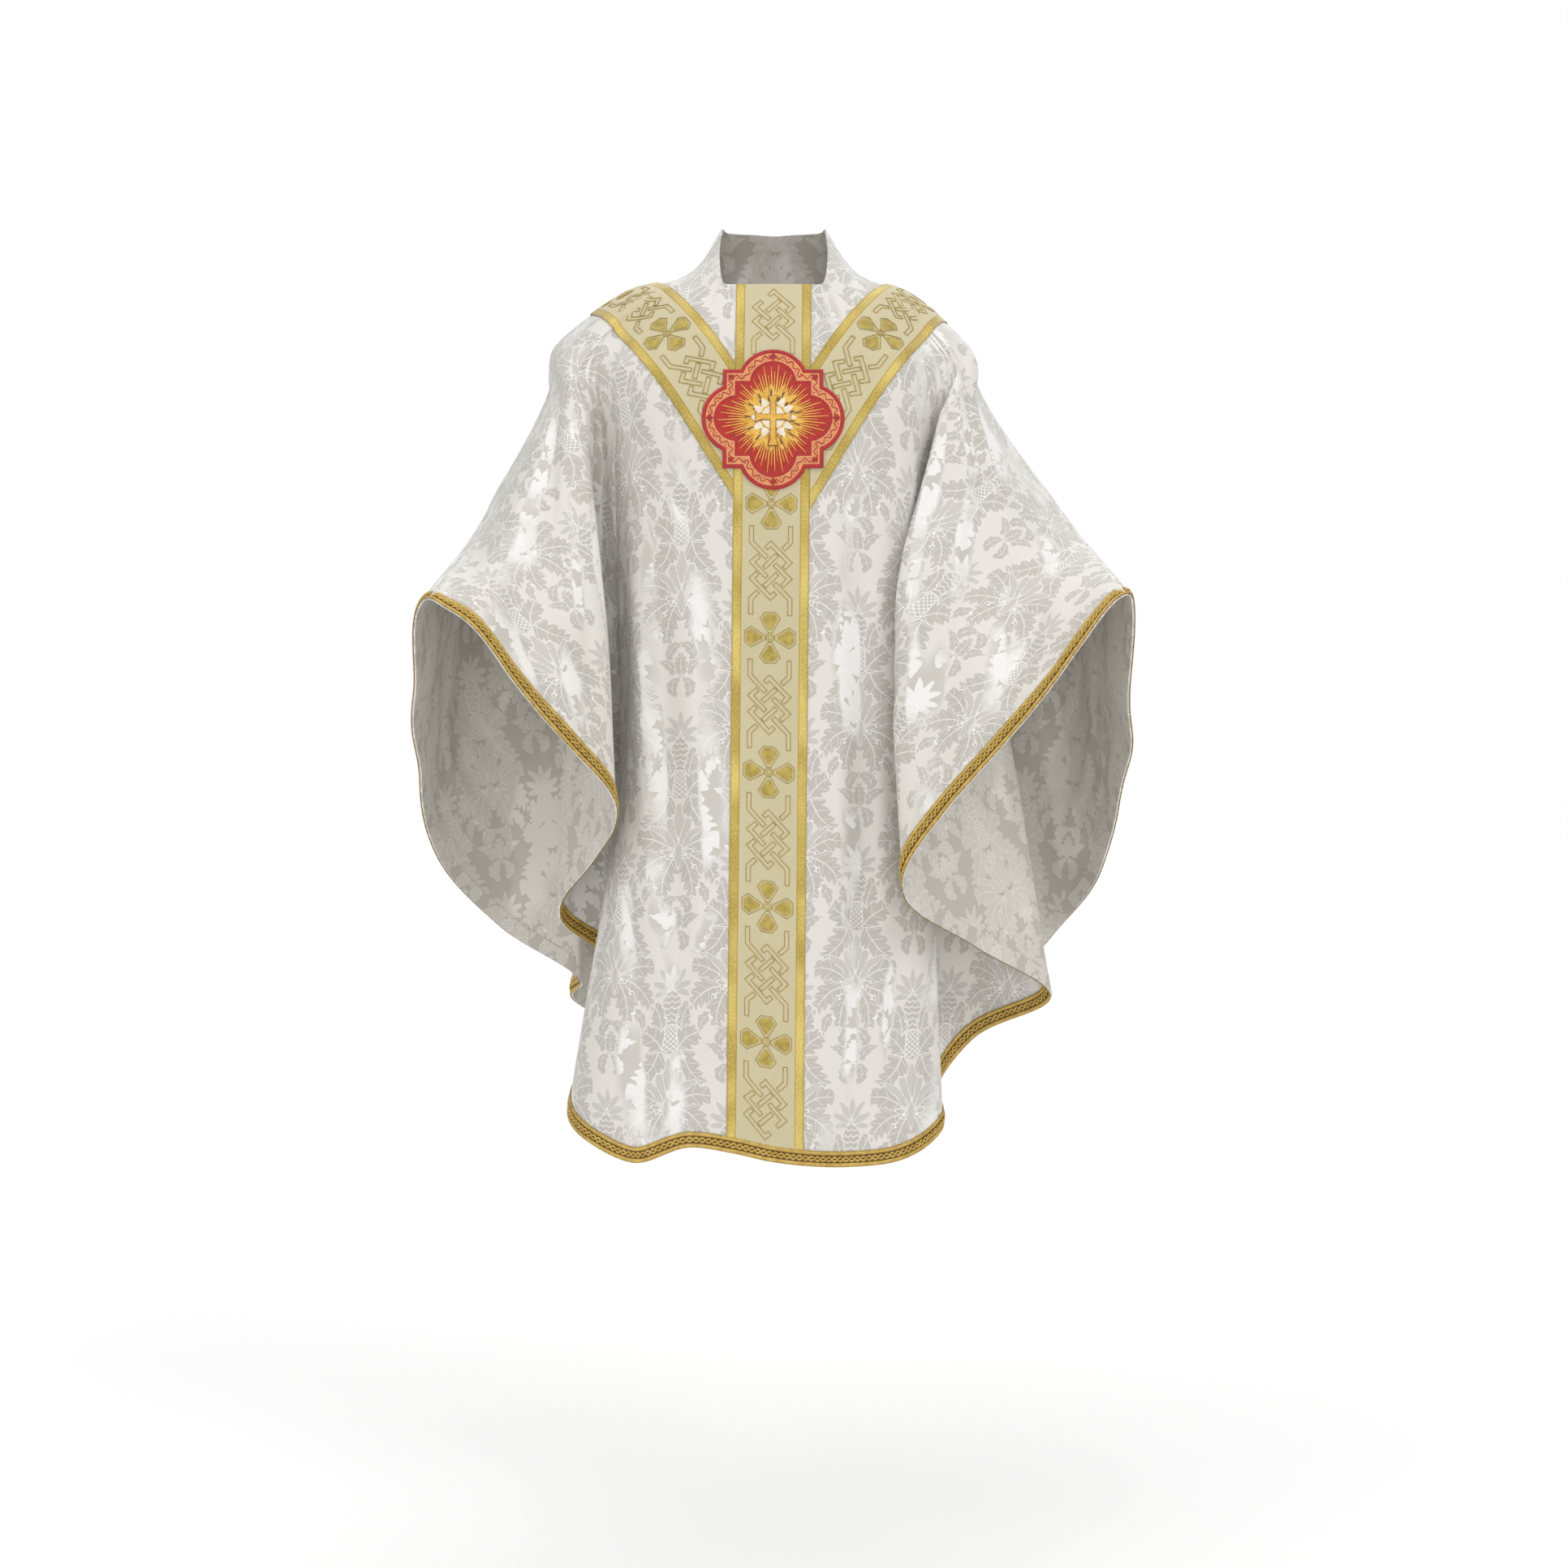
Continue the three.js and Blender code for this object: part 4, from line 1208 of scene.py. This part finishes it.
def add_figures(name, strip, first_cross, start, end, lift=0.0, clear=None):
    """Crosses and knots along a band, none past its ends."""
    piece = Piece()

    def keep(path):
        inside = path[:, 1].min() > start + FIGURE_END and path[:, 1].max() < end - FIGURE_END
        if not inside or clear is None:
            return inside
        return clear(strip.at(path[:, 0], path[:, 1], np.zeros(len(path))))

    low, high = FIGURE_LOW + lift, FIGURE_HIGH + lift
    count = int((strip.along[-1] + 1) / REPEAT_GALLOON) + 2
    for k in range(-count, count):
        centre = first_cross + k * REPEAT_GALLOON
        add_cross(piece, strip, centre, low, high, keep)
        add_knot(piece, strip, centre + REPEAT_GALLOON / 2, low, high, keep)
    return sew_on(piece.make(name + "_figures", [FIGURE_GOLD, LINE_GOLD], sharp=30), "galloon")


def along_near(strip, place):
    """Place along a strip's middle that lies nearest to a place of the photograph."""
    middle = strip.points[len(strip.across) // 2]
    target = np.array(seen_on(worn_tree, place))
    return strip.along[np.argmin(np.linalg.norm(middle - target, axis=1))]


figures = {}
for _side, _first in (("front", along_near(columns["front"], (953, 787))), ("back", BACK_CROSS)):
    _strip, _name = columns[_side], _side + "_column"
    figures[_name] = add_figures(_name, _strip, _first, 0.0, _strip.along[-1] - BRAID_WIDTH)


def off_columns(points):
    x = np.where(points[:, 1] < 0, column_x("front", points[:, 2]), column_x("back", points[:, 2]))
    return bool((abs(points[:, 0] - x) > BAND / 2 + COLUMN_ROOM).all())


for _side, _place in (("left", (829, 407)), ("right", (1080, 410))):
    _strip, _name = arms[_side], "arm_" + _side
    _start, _end = arm_ends[_side]
    figures[_name] = add_figures(
        _name, _strip, along_near(_strip, _place), _start.min(), _end.max(), ARM_FIGURE_LIFT, off_columns
    )

# ---------------------------------------------------------------- hem braid
CORD_PERIOD = 15.6 * MM
HEM_ROWS = 10
HEM_END, HEM_STEP = 0.0002, 0.00195
HEM_LEVELS = np.array([-0.5, 0, 3, 6, 9, 12, 15, 17.5, 19, 22]) * MM


def hem_frame(side):
    """Places every 2 mm along the hem and, for each level above it, points of the cloth and its normals."""
    points, normals = worn[side][:, -HEM_ROWS:], worn_normal[side][:, -HEM_ROWS:]
    run = run_along(points[:, -1])
    at = np.linspace(HEM_END, run[-1] - HEM_END, int(run[-1] / HEM_STEP))
    knots = np.arange(len(run))
    column, row = np.interp(at, run, knots), np.full(len(at), HEM_ROWS - 1.0)
    every = np.arange(len(at))
    ways_along, ways_down = np.gradient(points, axis=0), np.gradient(points, axis=1)

    def sample(grid, straight=False):
        if straight:
            j = np.minimum(column.astype(int), len(knots) - 2)
            share = (column - j)[:, None, None]
            lines = grid[j] * (1 - share) + grid[j + 1] * share
        else:
            lines = curve_at(grid, knots, column)
        i = np.clip(row.astype(int), 0, HEM_ROWS - 2)
        share = (row - i)[:, None]
        return lines[every, i] * (1 - share) + lines[every, i + 1] * share

    spots, outs, level = [], [], 0.0
    for height in [0.0, *HEM_LEVELS]:
        along, down = sample(ways_along), sample(ways_down)
        square = np.maximum((along * along).sum(1), 1e-12)
        slip = (along * down).sum(1) / square
        fall = np.linalg.norm(down - along * slip[:, None], axis=1)
        rows = (height - level) / np.maximum(fall, 1e-4)
        column = np.clip(column + rows * slip, 0, len(knots) - 1)
        row = row - rows
        level = height
        out = unit(sample(normals))
        spot = sample(points)
        under = np.maximum(((sample(points, True) - spot) * out).sum(1), 0)
        spots.append(spot + out * under[:, None])
        outs.append(out)
    return at, np.array(spots[1:]), np.array(outs[1:])


def on_hem(hem, index, height, lift=0.0):
    """Points above the hem's places, with the ways up the cloth and outwards."""
    _, spots, outs = hem
    height, lift = np.broadcast_to(height, len(index)), np.broadcast_to(lift, len(index))

    def blend(grid, height):
        level = np.interp(height, HEM_LEVELS, np.arange(len(HEM_LEVELS)))
        i = np.minimum(level.astype(int), len(HEM_LEVELS) - 2)
        share = (level - i)[:, None]
        return grid[i, index] * (1 - share) + grid[i + 1, index] * share

    out = unit(blend(outs, height))
    up = blend(spots, height + 0.5 * MM) - blend(spots, height - 0.5 * MM)
    up = unit(up - out * (up * out).sum(1, keepdims=True))
    return blend(spots, height) + out * lift[:, None], up, out


def add_cord(piece, hem, index, height, lift, radius, sides, flat):
    centre, up, out = on_hem(hem, index, height, lift)
    turns = np.linspace(0, 2 * np.pi, sides, endpoint=False)
    rings = [centre + up * (radius * math.cos(t)) + out * (radius * flat * math.sin(t)) for t in turns]
    piece.tube(np.stack(rings, axis=1), False, 0)


def hem_places(hem, start, end, step):
    """Indices of the hem's places at even steps."""
    at = hem[0]
    return np.round(np.arange(start, end, step) / at[-1] * (len(at) - 1)).astype(int)


def thinned(hem, step):
    every = np.arange(len(hem[0]))
    return every[::step] if (len(every) - 1) % step == 0 else np.append(every[::step], every[-1])


def hem_tape(piece, hem, index, heights, low, high, lay, finish):
    """A flat strip along the hem, between two heights over the cloth."""
    levels = [on_hem(hem, index, height) for height in heights]
    spots, outs = (np.stack([level[k] for level in levels], axis=1) for k in (0, 2))
    add_shell(piece, spots, outs, low, high, lay, finish, finish)


def repeated(name, places, frames, size, material, slot):
    """Small rounded stitches or beads at given places, instanced with Geometry Nodes and made real."""
    mesh = bpy.data.meshes.new(name + "_places")
    mesh.from_pydata(np.asarray(places).tolist(), [], [])
    attribute = mesh.attributes.new("lie", "FLOAT_VECTOR", "POINT")
    eulers = [Matrix(np.asarray(f).T.tolist()).to_euler() for f in frames]
    attribute.data.foreach_set("vector", np.array([list(e) for e in eulers], np.float32).ravel())
    holder = put(name + "_places", mesh)
    tree = bpy.data.node_groups.new(name + "_repeat", "GeometryNodeTree")
    for way in ("INPUT", "OUTPUT"):
        tree.interface.new_socket("Geometry", in_out=way, socket_type="NodeSocketGeometry")
    scale = tree.interface.new_socket("Bead size", in_out="INPUT", socket_type="NodeSocketVector")
    entry, leave, bead, lie, place, real, paint = (tree.nodes.new(kind) for kind in (
        "NodeGroupInput", "NodeGroupOutput", "GeometryNodeMeshIcoSphere", "GeometryNodeInputNamedAttribute",
        "GeometryNodeInstanceOnPoints", "GeometryNodeRealizeInstances", "GeometryNodeSetMaterial",
    ))
    bead.inputs["Radius"].default_value = 1.0
    bead.inputs["Subdivisions"].default_value = 1
    lie.data_type = "FLOAT_VECTOR"
    lie.inputs["Name"].default_value = "lie"
    paint.inputs["Material"].default_value = material
    for start, end in (
        (entry.outputs[0], place.inputs["Points"]),
        (bead.outputs["Mesh"], place.inputs["Instance"]),
        (lie.outputs["Attribute"], place.inputs["Rotation"]),
        (entry.outputs["Bead size"], place.inputs["Scale"]),
        (place.outputs[0], real.inputs[0]),
        (real.outputs[0], paint.inputs[0]),
        (paint.outputs[0], leave.inputs[0]),
    ):
        tree.links.new(start, end)
    modifier = holder.modifiers.new("repeat", "NODES")
    modifier.node_group = tree
    modifier[scale.identifier] = size
    bpy.context.view_layer.update()
    depsgraph = bpy.context.evaluated_depsgraph_get()
    real_mesh = bpy.data.meshes.new_from_object(holder.evaluated_get(depsgraph))
    bpy.data.objects.remove(holder)
    real_mesh.name = name
    real_mesh.polygons.foreach_set("use_smooth", np.full(len(real_mesh.polygons), True))
    return sew_on(put(name, real_mesh), slot)


TAPE_HEIGHTS = [BRAID_WIDTH, BRAID_WIDTH - 0.0008, 0.013, 0.006, 0.0008, -0.0005]
TAPE_LOW, TAPE_HIGH = 1.05 * MM, 1.9 * MM
CORD, CORD_SWING = 1.5 * MM, 2.5 * MM
RIB, RIB_INSET = 2.1 * MM, 2.5 * MM
TOOTH_STEP, TOOTH_SIZE = 2.4 * MM, (1.5 * MM, 0.85 * MM, 0.8 * MM)
BEAD_SIZE = (1.3 * MM, 0.9 * MM, 0.6 * MM)


def lay_braid(side):
    """Braid over the hem: ground tape, crossing cords, ribbed edges, teeth and beads."""
    hem = hem_frame(side)
    at = hem[0]
    every, some, coarse = np.arange(len(at)), thinned(hem, 2), thinned(hem, 3)
    piece = Piece()
    # the ground tape carries painted shade for the gaps between the cords
    hem_tape(piece, hem, coarse, TAPE_HEIGHTS, TAPE_LOW, TAPE_HIGH, np.zeros((len(coarse), len(TAPE_HEIGHTS), 2)), 1)
    # two cords that cross, one over the other in turn
    phase = at / CORD_PERIOD * 2 * math.pi
    for sign in (1, -1):
        height = BRAID_WIDTH / 2 + sign * CORD_SWING * np.sin(phase)
        lift = 2.6 * MM + sign * 0.55 * MM * np.cos(phase)
        add_cord(piece, hem, every, height, lift, CORD, 6, 0.75)
    for edge in (RIB_INSET, BRAID_WIDTH - RIB_INSET):
        add_cord(piece, hem, some, edge, RIB, RIB, 8, 0.42)
    braid = sew_on(piece.make(side + "_braid_cords", [BRAID_GOLD, BRAID_GROUND_AND_SHADE]), "braid", side + "_braid")
    # fine teeth on both edges, and bright beads where the cords cross
    spots, frames = [], []
    for height in (0.2 * MM, BRAID_WIDTH - 0.2 * MM):
        index = hem_places(hem, 0.002, at[-1] - 0.001, TOOTH_STEP)
        spot, up, out = on_hem(hem, index, height, TAPE_HIGH)
        lean = unit(up + np.cross(up, out) * 0.35)
        spots += list(spot)
        frames += list(np.stack([lean, np.cross(out, lean), out], axis=1))
    teeth = repeated(side + "_braid_teeth", spots, frames, TOOTH_SIZE, BRAID_GOLD, "braid")
    index = hem_places(hem, CORD_PERIOD / 2, at[-1], CORD_PERIOD / 2)
    beads = hem_row(side + "_braid_beads", hem, index, BRAID_WIDTH / 2, 3.5 * MM, BEAD_SIZE, BEAD_GOLD, "braid")
    return [braid, teeth, beads]


def hem_row(name, hem, index, height, lift, size, material, slot):
    """Beads or stitches in a row along the hem."""
    spot, up, out = on_hem(hem, index, height, lift)
    frames = np.stack([np.cross(up, out), up, out], axis=1)
    return repeated(name, spot, frames, size, material, slot)


braids = {side: lay_braid(side) for side in AROUND}

# ---------------------------------------------------------------- turned hem
TURNING = 21 * MM
TURNING_HEIGHTS = np.array([TURNING, TURNING - 0.0015, TURNING / 2, 0.001, 0.0])
TURNING_LOW, TURNING_HIGH = -1.5 * MM, -0.95 * MM
STITCH_STEP, STITCH_SIZE = 4.2 * MM, (1.5 * MM, 0.35 * MM, 0.3 * MM)


def lay_turning(side):
    """The hem's turning and its stitch line on the wrong side."""
    hem = hem_frame(side)
    at = hem[0]
    some = np.arange(0, len(at), 4)
    rows = len(TURNING_HEIGHTS)
    lay = np.stack([np.repeat(at[some][:, None], rows, axis=1), np.tile(TURNING_HEIGHTS, (len(some), 1))], axis=2)
    piece = Piece()
    hem_tape(piece, hem, some, TURNING_HEIGHTS, TURNING_LOW, TURNING_HIGH, lay, 0)
    turning = sew_on(piece.make(side + "_hem_turning", [WRONG_SIDE]), "damask")
    index = hem_places(hem, 0.004, at[-1] - 0.002, STITCH_STEP)
    stitches = hem_row(
        side + "_hem_stitches", hem, index, TURNING - 0.003, -1.55 * MM, STITCH_SIZE, SEWING_THREAD, "damask"
    )
    return [turning, stitches]


turnings = {side: lay_turning(side) for side in AROUND}

# ---------------------------------------------------------------- medallion
MEDALLION_CENTRE = (0.0, -0.230)
SPAN = 184 * MM
LOBE = 0.249 * SPAN
REACH = SPAN / 2 - LOBE
CORNER = 0.352 * SPAN
BAND_MIDDLE = 10.4 * MM  # inset of the middle of the peach band
BADGE_LIFT = 2.5 * MM
# the chest is measured within this half square, but for its corners
BADGE_SQUARE, BADGE_CORNERS = 0.09, 0.14
BADGE_SINK = 0.6
EMBROIDERY = [RED_STITCH, GOLD_STITCH, CREAM_STITCH, BROWN_STITCH]
RED, GOLD, CREAM, BROWN = range(4)


def quatrefoil(inset):
    """Outline of the barbed quatrefoil, moved inwards."""
    lobe, corner = LOBE - inset, CORNER - inset
    cut = math.acos(min(1.0, (corner - REACH) / lobe))
    side = math.sin(cut) * lobe
    points = []
    for quarter in range(4):
        turn = quarter * math.pi / 2
        points += [REACH * towards(turn) + lobe * towards(turn + a) for a in np.linspace(-cut, cut, 17)]
        ux, uy = math.cos(turn), math.sin(turn)
        start = np.array([ux * corner - uy * side, uy * corner + ux * side])
        tip = np.array([(ux - uy) * corner, (uy + ux) * corner])
        end = np.array([-uy * corner + ux * side, ux * corner + uy * side])
        points += [start + (tip - start) * share for share in (0.34, 0.67)]
        points.append(tip)
        points += [tip + (end - tip) * share for share in (0.34, 0.67)]
    return np.array(points)


def badge_terms(x, z):
    return np.stack([x * 0 + 1, x, z, x * x, x * z, z * z, x**4, z**3], axis=-1)


def badge_surface():
    """A smooth stiff surface in front of the chest, as coefficients in x and z."""
    spots, depths = [], []
    steps = np.linspace(-BADGE_SQUARE, BADGE_SQUARE, 19)
    for x in steps:
        for z in steps:
            if abs(x) + abs(z) > BADGE_CORNERS:
                continue
            before = Vector((MEDALLION_CENTRE[0] + x, -1, MEDALLION_CENTRE[1] + z))
            spots.append((x, z))
            depths.append(worn_tree.ray_cast(before, Vector((0, 1, 0)))[0][1])
    rows, depths = badge_terms(*np.array(spots).T), np.array(depths)
    best = np.linalg.lstsq(rows, depths, rcond=None)[0]
    best[0] += min(0.0, (depths - rows @ best).min()) * BADGE_SINK
    return best


BADGE = badge_surface()


def on_badge(x, z, lift=0.0):
    x, z, lift = np.asarray(x, float), np.asarray(z, float), np.asarray(lift, float)
    y = badge_terms(x, z) @ BADGE
    slope_x = BADGE[1] + 2 * BADGE[3] * x + BADGE[4] * z + 4 * BADGE[6] * x**3
    slope_z = BADGE[2] + BADGE[4] * x + 2 * BADGE[5] * z + 3 * BADGE[7] * z**2
    normal = unit(np.stack([slope_x, x * 0 - 1, slope_z], axis=-1))
    spot = np.stack([MEDALLION_CENTRE[0] + x, y, MEDALLION_CENTRE[1] + z], axis=-1)
    return spot + normal * (lift + BADGE_LIFT)[..., None]


# The ground's rings from the rim inwards: inset, height and the finish of what follows
GROUND_RINGS = [
    (0.0, 0.0, 0), (0.0, 0.9, 0), (0.5, 1.9, 0), (1.8, 2.5, 0), (3.3, 2.5, 0), (4.6, 1.9, 0), (5.2, 1.1, 1),
    (15.6, 1.1, 0), (16.0, 1.6, 0), (17.0, 1.9, 0), (18.0, 1.6, 0), (18.5, 1.0, 2),
]
FIELD_RINGS = (0.85, 0.65, 0.45, 0.25, 0.08)


def medallion_ground():
    """The padded outline, the peach band and the red field."""
    rings = [on_badge(*quatrefoil(inset * MM).T, height * MM) for inset, height, _ in GROUND_RINGS]
    colours = [colour for _, _, colour in GROUND_RINGS] + [2] * len(FIELD_RINGS)
    inner = quatrefoil(GROUND_RINGS[-1][0] * MM)
    rings += [on_badge(*(inner * share).T, 1.0 * MM) for share in FIELD_RINGS]
    k = len(inner)
    faces, finishes = [], []
    for i in range(len(rings) - 1):
        for a in range(k):
            b = (a + 1) % k
            faces.append([i * k + a, i * k + b, (i + 1) * k + b, (i + 1) * k + a])
            finishes.append(colours[i])
    faces.append([(len(rings) - 1) * k + a for a in range(k)])
    faces.append(list(range(k - 1, -1, -1)))
    points = np.array(rings).reshape(-1, 3)
    piece = Piece()
    piece.add(points, turned_out(points, faces), finishes + [2, 0])
    return sew_on(piece.make("medallion_ground", [RED_STITCH, PEACH_STITCH, RED_FIELD]), "embroidery", "medallion")


def satin(piece, outline, low, high, colour, dome, step=0.006):
    """A patch of satin stitch; heights in millimetres."""
    add_plate(piece, on_badge, outline, low * MM, high * MM, colour, dome * MM, step)


def add_wave(piece):
    """Wave and dots along the peach band."""
    waves = 44
    band = quatrefoil(BAND_MIDDLE)
    loop = np.concatenate([band, band[:1]])
    run = run_along(loop)
    at = np.linspace(0, run[-1], waves * 8, endpoint=False)
    middle = np.stack([np.interp(at, run, loop[:, 0]), np.interp(at, run, loop[:, 1])], axis=1)
    way = unit(np.roll(middle, -2, axis=0) - np.roll(middle, 2, axis=0))
    left = np.stack([-way[:, 1], way[:, 0]], axis=1)
    swing = np.sin(at / run[-1] * waves * 2 * np.pi)[:, None]
    path = middle + left * swing * 2.6 * MM
    add_line(piece, on_badge, path, 0.55 * MM, 0.9 * MM, 1.9 * MM, True, RED, step=0.01)
    for k in range(waves * 2):
        i = int((k + 0.5) * 4) % len(at)
        spot = middle[i] - left[i] * (1 if k % 2 == 0 else -1) * 2.4 * MM
        satin(piece, spot + circle(6) * 0.95 * MM, 0.9, 1.6, GOLD if k % 4 < 2 else RED, 0.3)


def add_flowers(piece):
    """Small four-petalled flowers at the tips of the lobes and at the corners."""
    for quarter in range(4):
        turn = quarter * math.pi / 2
        for angle, place, radius in (
            (turn, REACH + LOBE - BAND_MIDDLE, 5.2 * MM),
            (turn + math.pi / 4, (CORNER - 10.8 * MM) * math.sqrt(2), 4.6 * MM),
        ):
            spot = towards(angle) * place
            for petal in range(4):
                way = towards(angle + petal * math.pi / 2)
                tip = spot + way * radius
                side = left_of(way) * radius * 0.42
                mid = spot + (tip - spot) * 0.55
                satin(piece, [spot, mid + side, tip, mid - side], 0.9, 2.2, RED, 0.4)


RAYS = 88


def add_rays(piece):
    """Gold rays on the field, up to the band."""
    rim = quatrefoil(20 * MM)
    rim_angle = np.arctan2(rim[:, 1], rim[:, 0])
    order = np.argsort(rim_angle)
    for k in range(RAYS):
        angle = 2 * math.pi * (k + 0.5) / RAYS - math.pi
        way = towards(angle)
        side = left_of(way)
        room = np.interp(angle, rim_angle[order], np.linalg.norm(rim[order], axis=1), period=2 * math.pi)
        foot, tip = way * (34 * MM), way * (room * (1.0, 0.86, 0.95, 0.8)[k % 4])
        wide, narrow = side * ((0.8 if k % 2 else 1.1) * MM), side * 0.3 * MM
        satin(piece, [foot + wide, tip + narrow, tip - narrow, foot - wide], 0.8, 1.5, GOLD, 0.1, 0.012)


LEAF_SHAPE = ((0, 0), (0.2, 0.7), (0.5, 1), (0.8, 0.6), (1, 0), (0.8, -0.6), (0.5, -1), (0.2, -0.7))


def add_leaf(piece, base, angle, length, width, low, high, colour):
    way = towards(angle)
    shape = [base + way * length * s + left_of(way) * width * w for s, w in LEAF_SHAPE]
    satin(piece, shape, low, high, colour, 0.5)


def add_wreath(piece):
    """Ring of gold and brown sprigs, and the cream rosette in it."""
    for k in range(26):
        angle = 2 * math.pi * (k + 0.5) / 26
        way = towards(angle)
        reach = 23 + 3 * math.cos(2 * angle + math.pi) + (2 if k % 3 == 0 else 0)
        turn = 1 if k % 2 else -1
        add_leaf(piece, way * 21 * MM, angle + 0.6 * turn, reach * MM, 3.6 * MM, 0.8, 2.2, GOLD)
        colour = BROWN if k % 2 else GOLD
        add_leaf(piece, way * 20 * MM, angle - 0.4 * turn, 19 * MM, 1.8 * MM, 0.9, 2.6, colour)
    for k in range(12):
        angle = 2 * math.pi * k / 12
        add_leaf(piece, towards(angle) * 8 * MM, angle, 22 * MM, 5.2 * MM, 1.0, 2.9, CREAM)
    for radius, colour, height in ((17.5, BROWN, 3.2), (16.8, GOLD, 3.5), (14.8, CREAM, 3.8)):
        satin(piece, circle(32) * radius * MM, 1.0, height, colour, 0.2)


def add_plain_cross(piece):
    """Plain gold cross, edged in brown."""
    for quarter, length in enumerate((22, 27, 22, 36)):
        way = towards(quarter * math.pi / 2)
        side = left_of(way)
        for wider, colour, height in ((0.9, BROWN, 4.4), (0.0, GOLD, 5.2)):
            half, far, neck = 3.2 + wider, way * (length + wider), way * (length - 6)
            arm = [side * half, neck + side * half, far + side * (half + 2.6),
                   far - side * (half + 2.6), neck - side * half, -side * half]
            satin(piece, np.array(arm) * MM, 3.0, height, colour, 0.4)


def medallion_embroidery():
    piece = Piece()
    for stitch in (add_wave, add_flowers, add_rays, add_wreath, add_plain_cross):
        stitch(piece)
    return sew_on(piece.make("medallion_embroidery", EMBROIDERY, sharp=35), "embroidery")


medallion = [medallion_ground(), medallion_embroidery()]

# ---------------------------------------------------------------- each band's pieces and length, gathered and not used
for _side, _strip in columns.items():
    _name = _side + "_column"
    _with = [figures[_name]] + (medallion if _side == "front" else [])
    float(_strip.along[-1] - BRAID_WIDTH)
for _side, (_start, _end) in arm_ends.items():
    _name = "arm_" + _side

# ---------------------------------------------------------------- room and light
FLOOR = -1.67
ROOM = 30
DOME = 0.4
WHITE = (1, 1, 1, 1)
# name, the way towards the light, strength, width in degrees
SUNS = [
    ("key", (0.8, -0.75, 0.8), 0.16, 30), ("left", (-0.9, -0.5, 1.0), 0.08, 40),
    ("overhead", (-0.1, -0.2, 1.0), 0.47, 90), ("fill", (0.0, -1.0, 0.0), 0.19, 20),
    ("rear", (0.3, 1.0, 0.8), 0.2, 60),
]


def set_room():
    mesh = bpy.data.meshes.new("floor")
    corners = [(-ROOM, -ROOM, FLOOR), (ROOM, -ROOM, FLOOR), (ROOM, ROOM, FLOOR), (-ROOM, ROOM, FLOOR)]
    mesh.from_pydata(corners, [], [(0, 1, 2, 3)])
    mesh.materials.append(finish("pale_floor", Base_Color=(0.94, 0.94, 0.94, 1), Roughness=0.9)[0])
    put("floor", mesh)
    world = bpy.data.worlds.new("studio")
    bpy.context.scene.world = world
    world.use_nodes = True
    tree = world.node_tree
    dome = tree.nodes["Background"]
    dome.inputs["Color"].default_value = WHITE
    dome.inputs["Strength"].default_value = DOME
    backdrop = tree.nodes.new("ShaderNodeBackground")
    backdrop.inputs["Color"].default_value = WHITE
    path, choice = tree.nodes.new("ShaderNodeLightPath"), tree.nodes.new("ShaderNodeMixShader")
    for k, output in enumerate((path.outputs["Is Camera Ray"], dome.outputs[0], backdrop.outputs[0])):
        tree.links.new(output, choice.inputs[k])
    tree.links.new(choice.outputs[0], tree.nodes["World Output"].inputs["Surface"])
    for name, way, strength, angle in SUNS:
        data = bpy.data.lights.new(name, "SUN")
        data.energy, data.angle = strength * math.pi, math.radians(angle)
        put(name, data).rotation_euler = (-Vector(way)).to_track_quat("-Z", "Y").to_euler()
    bpy.context.scene.view_settings.view_transform = "Standard"


set_room()
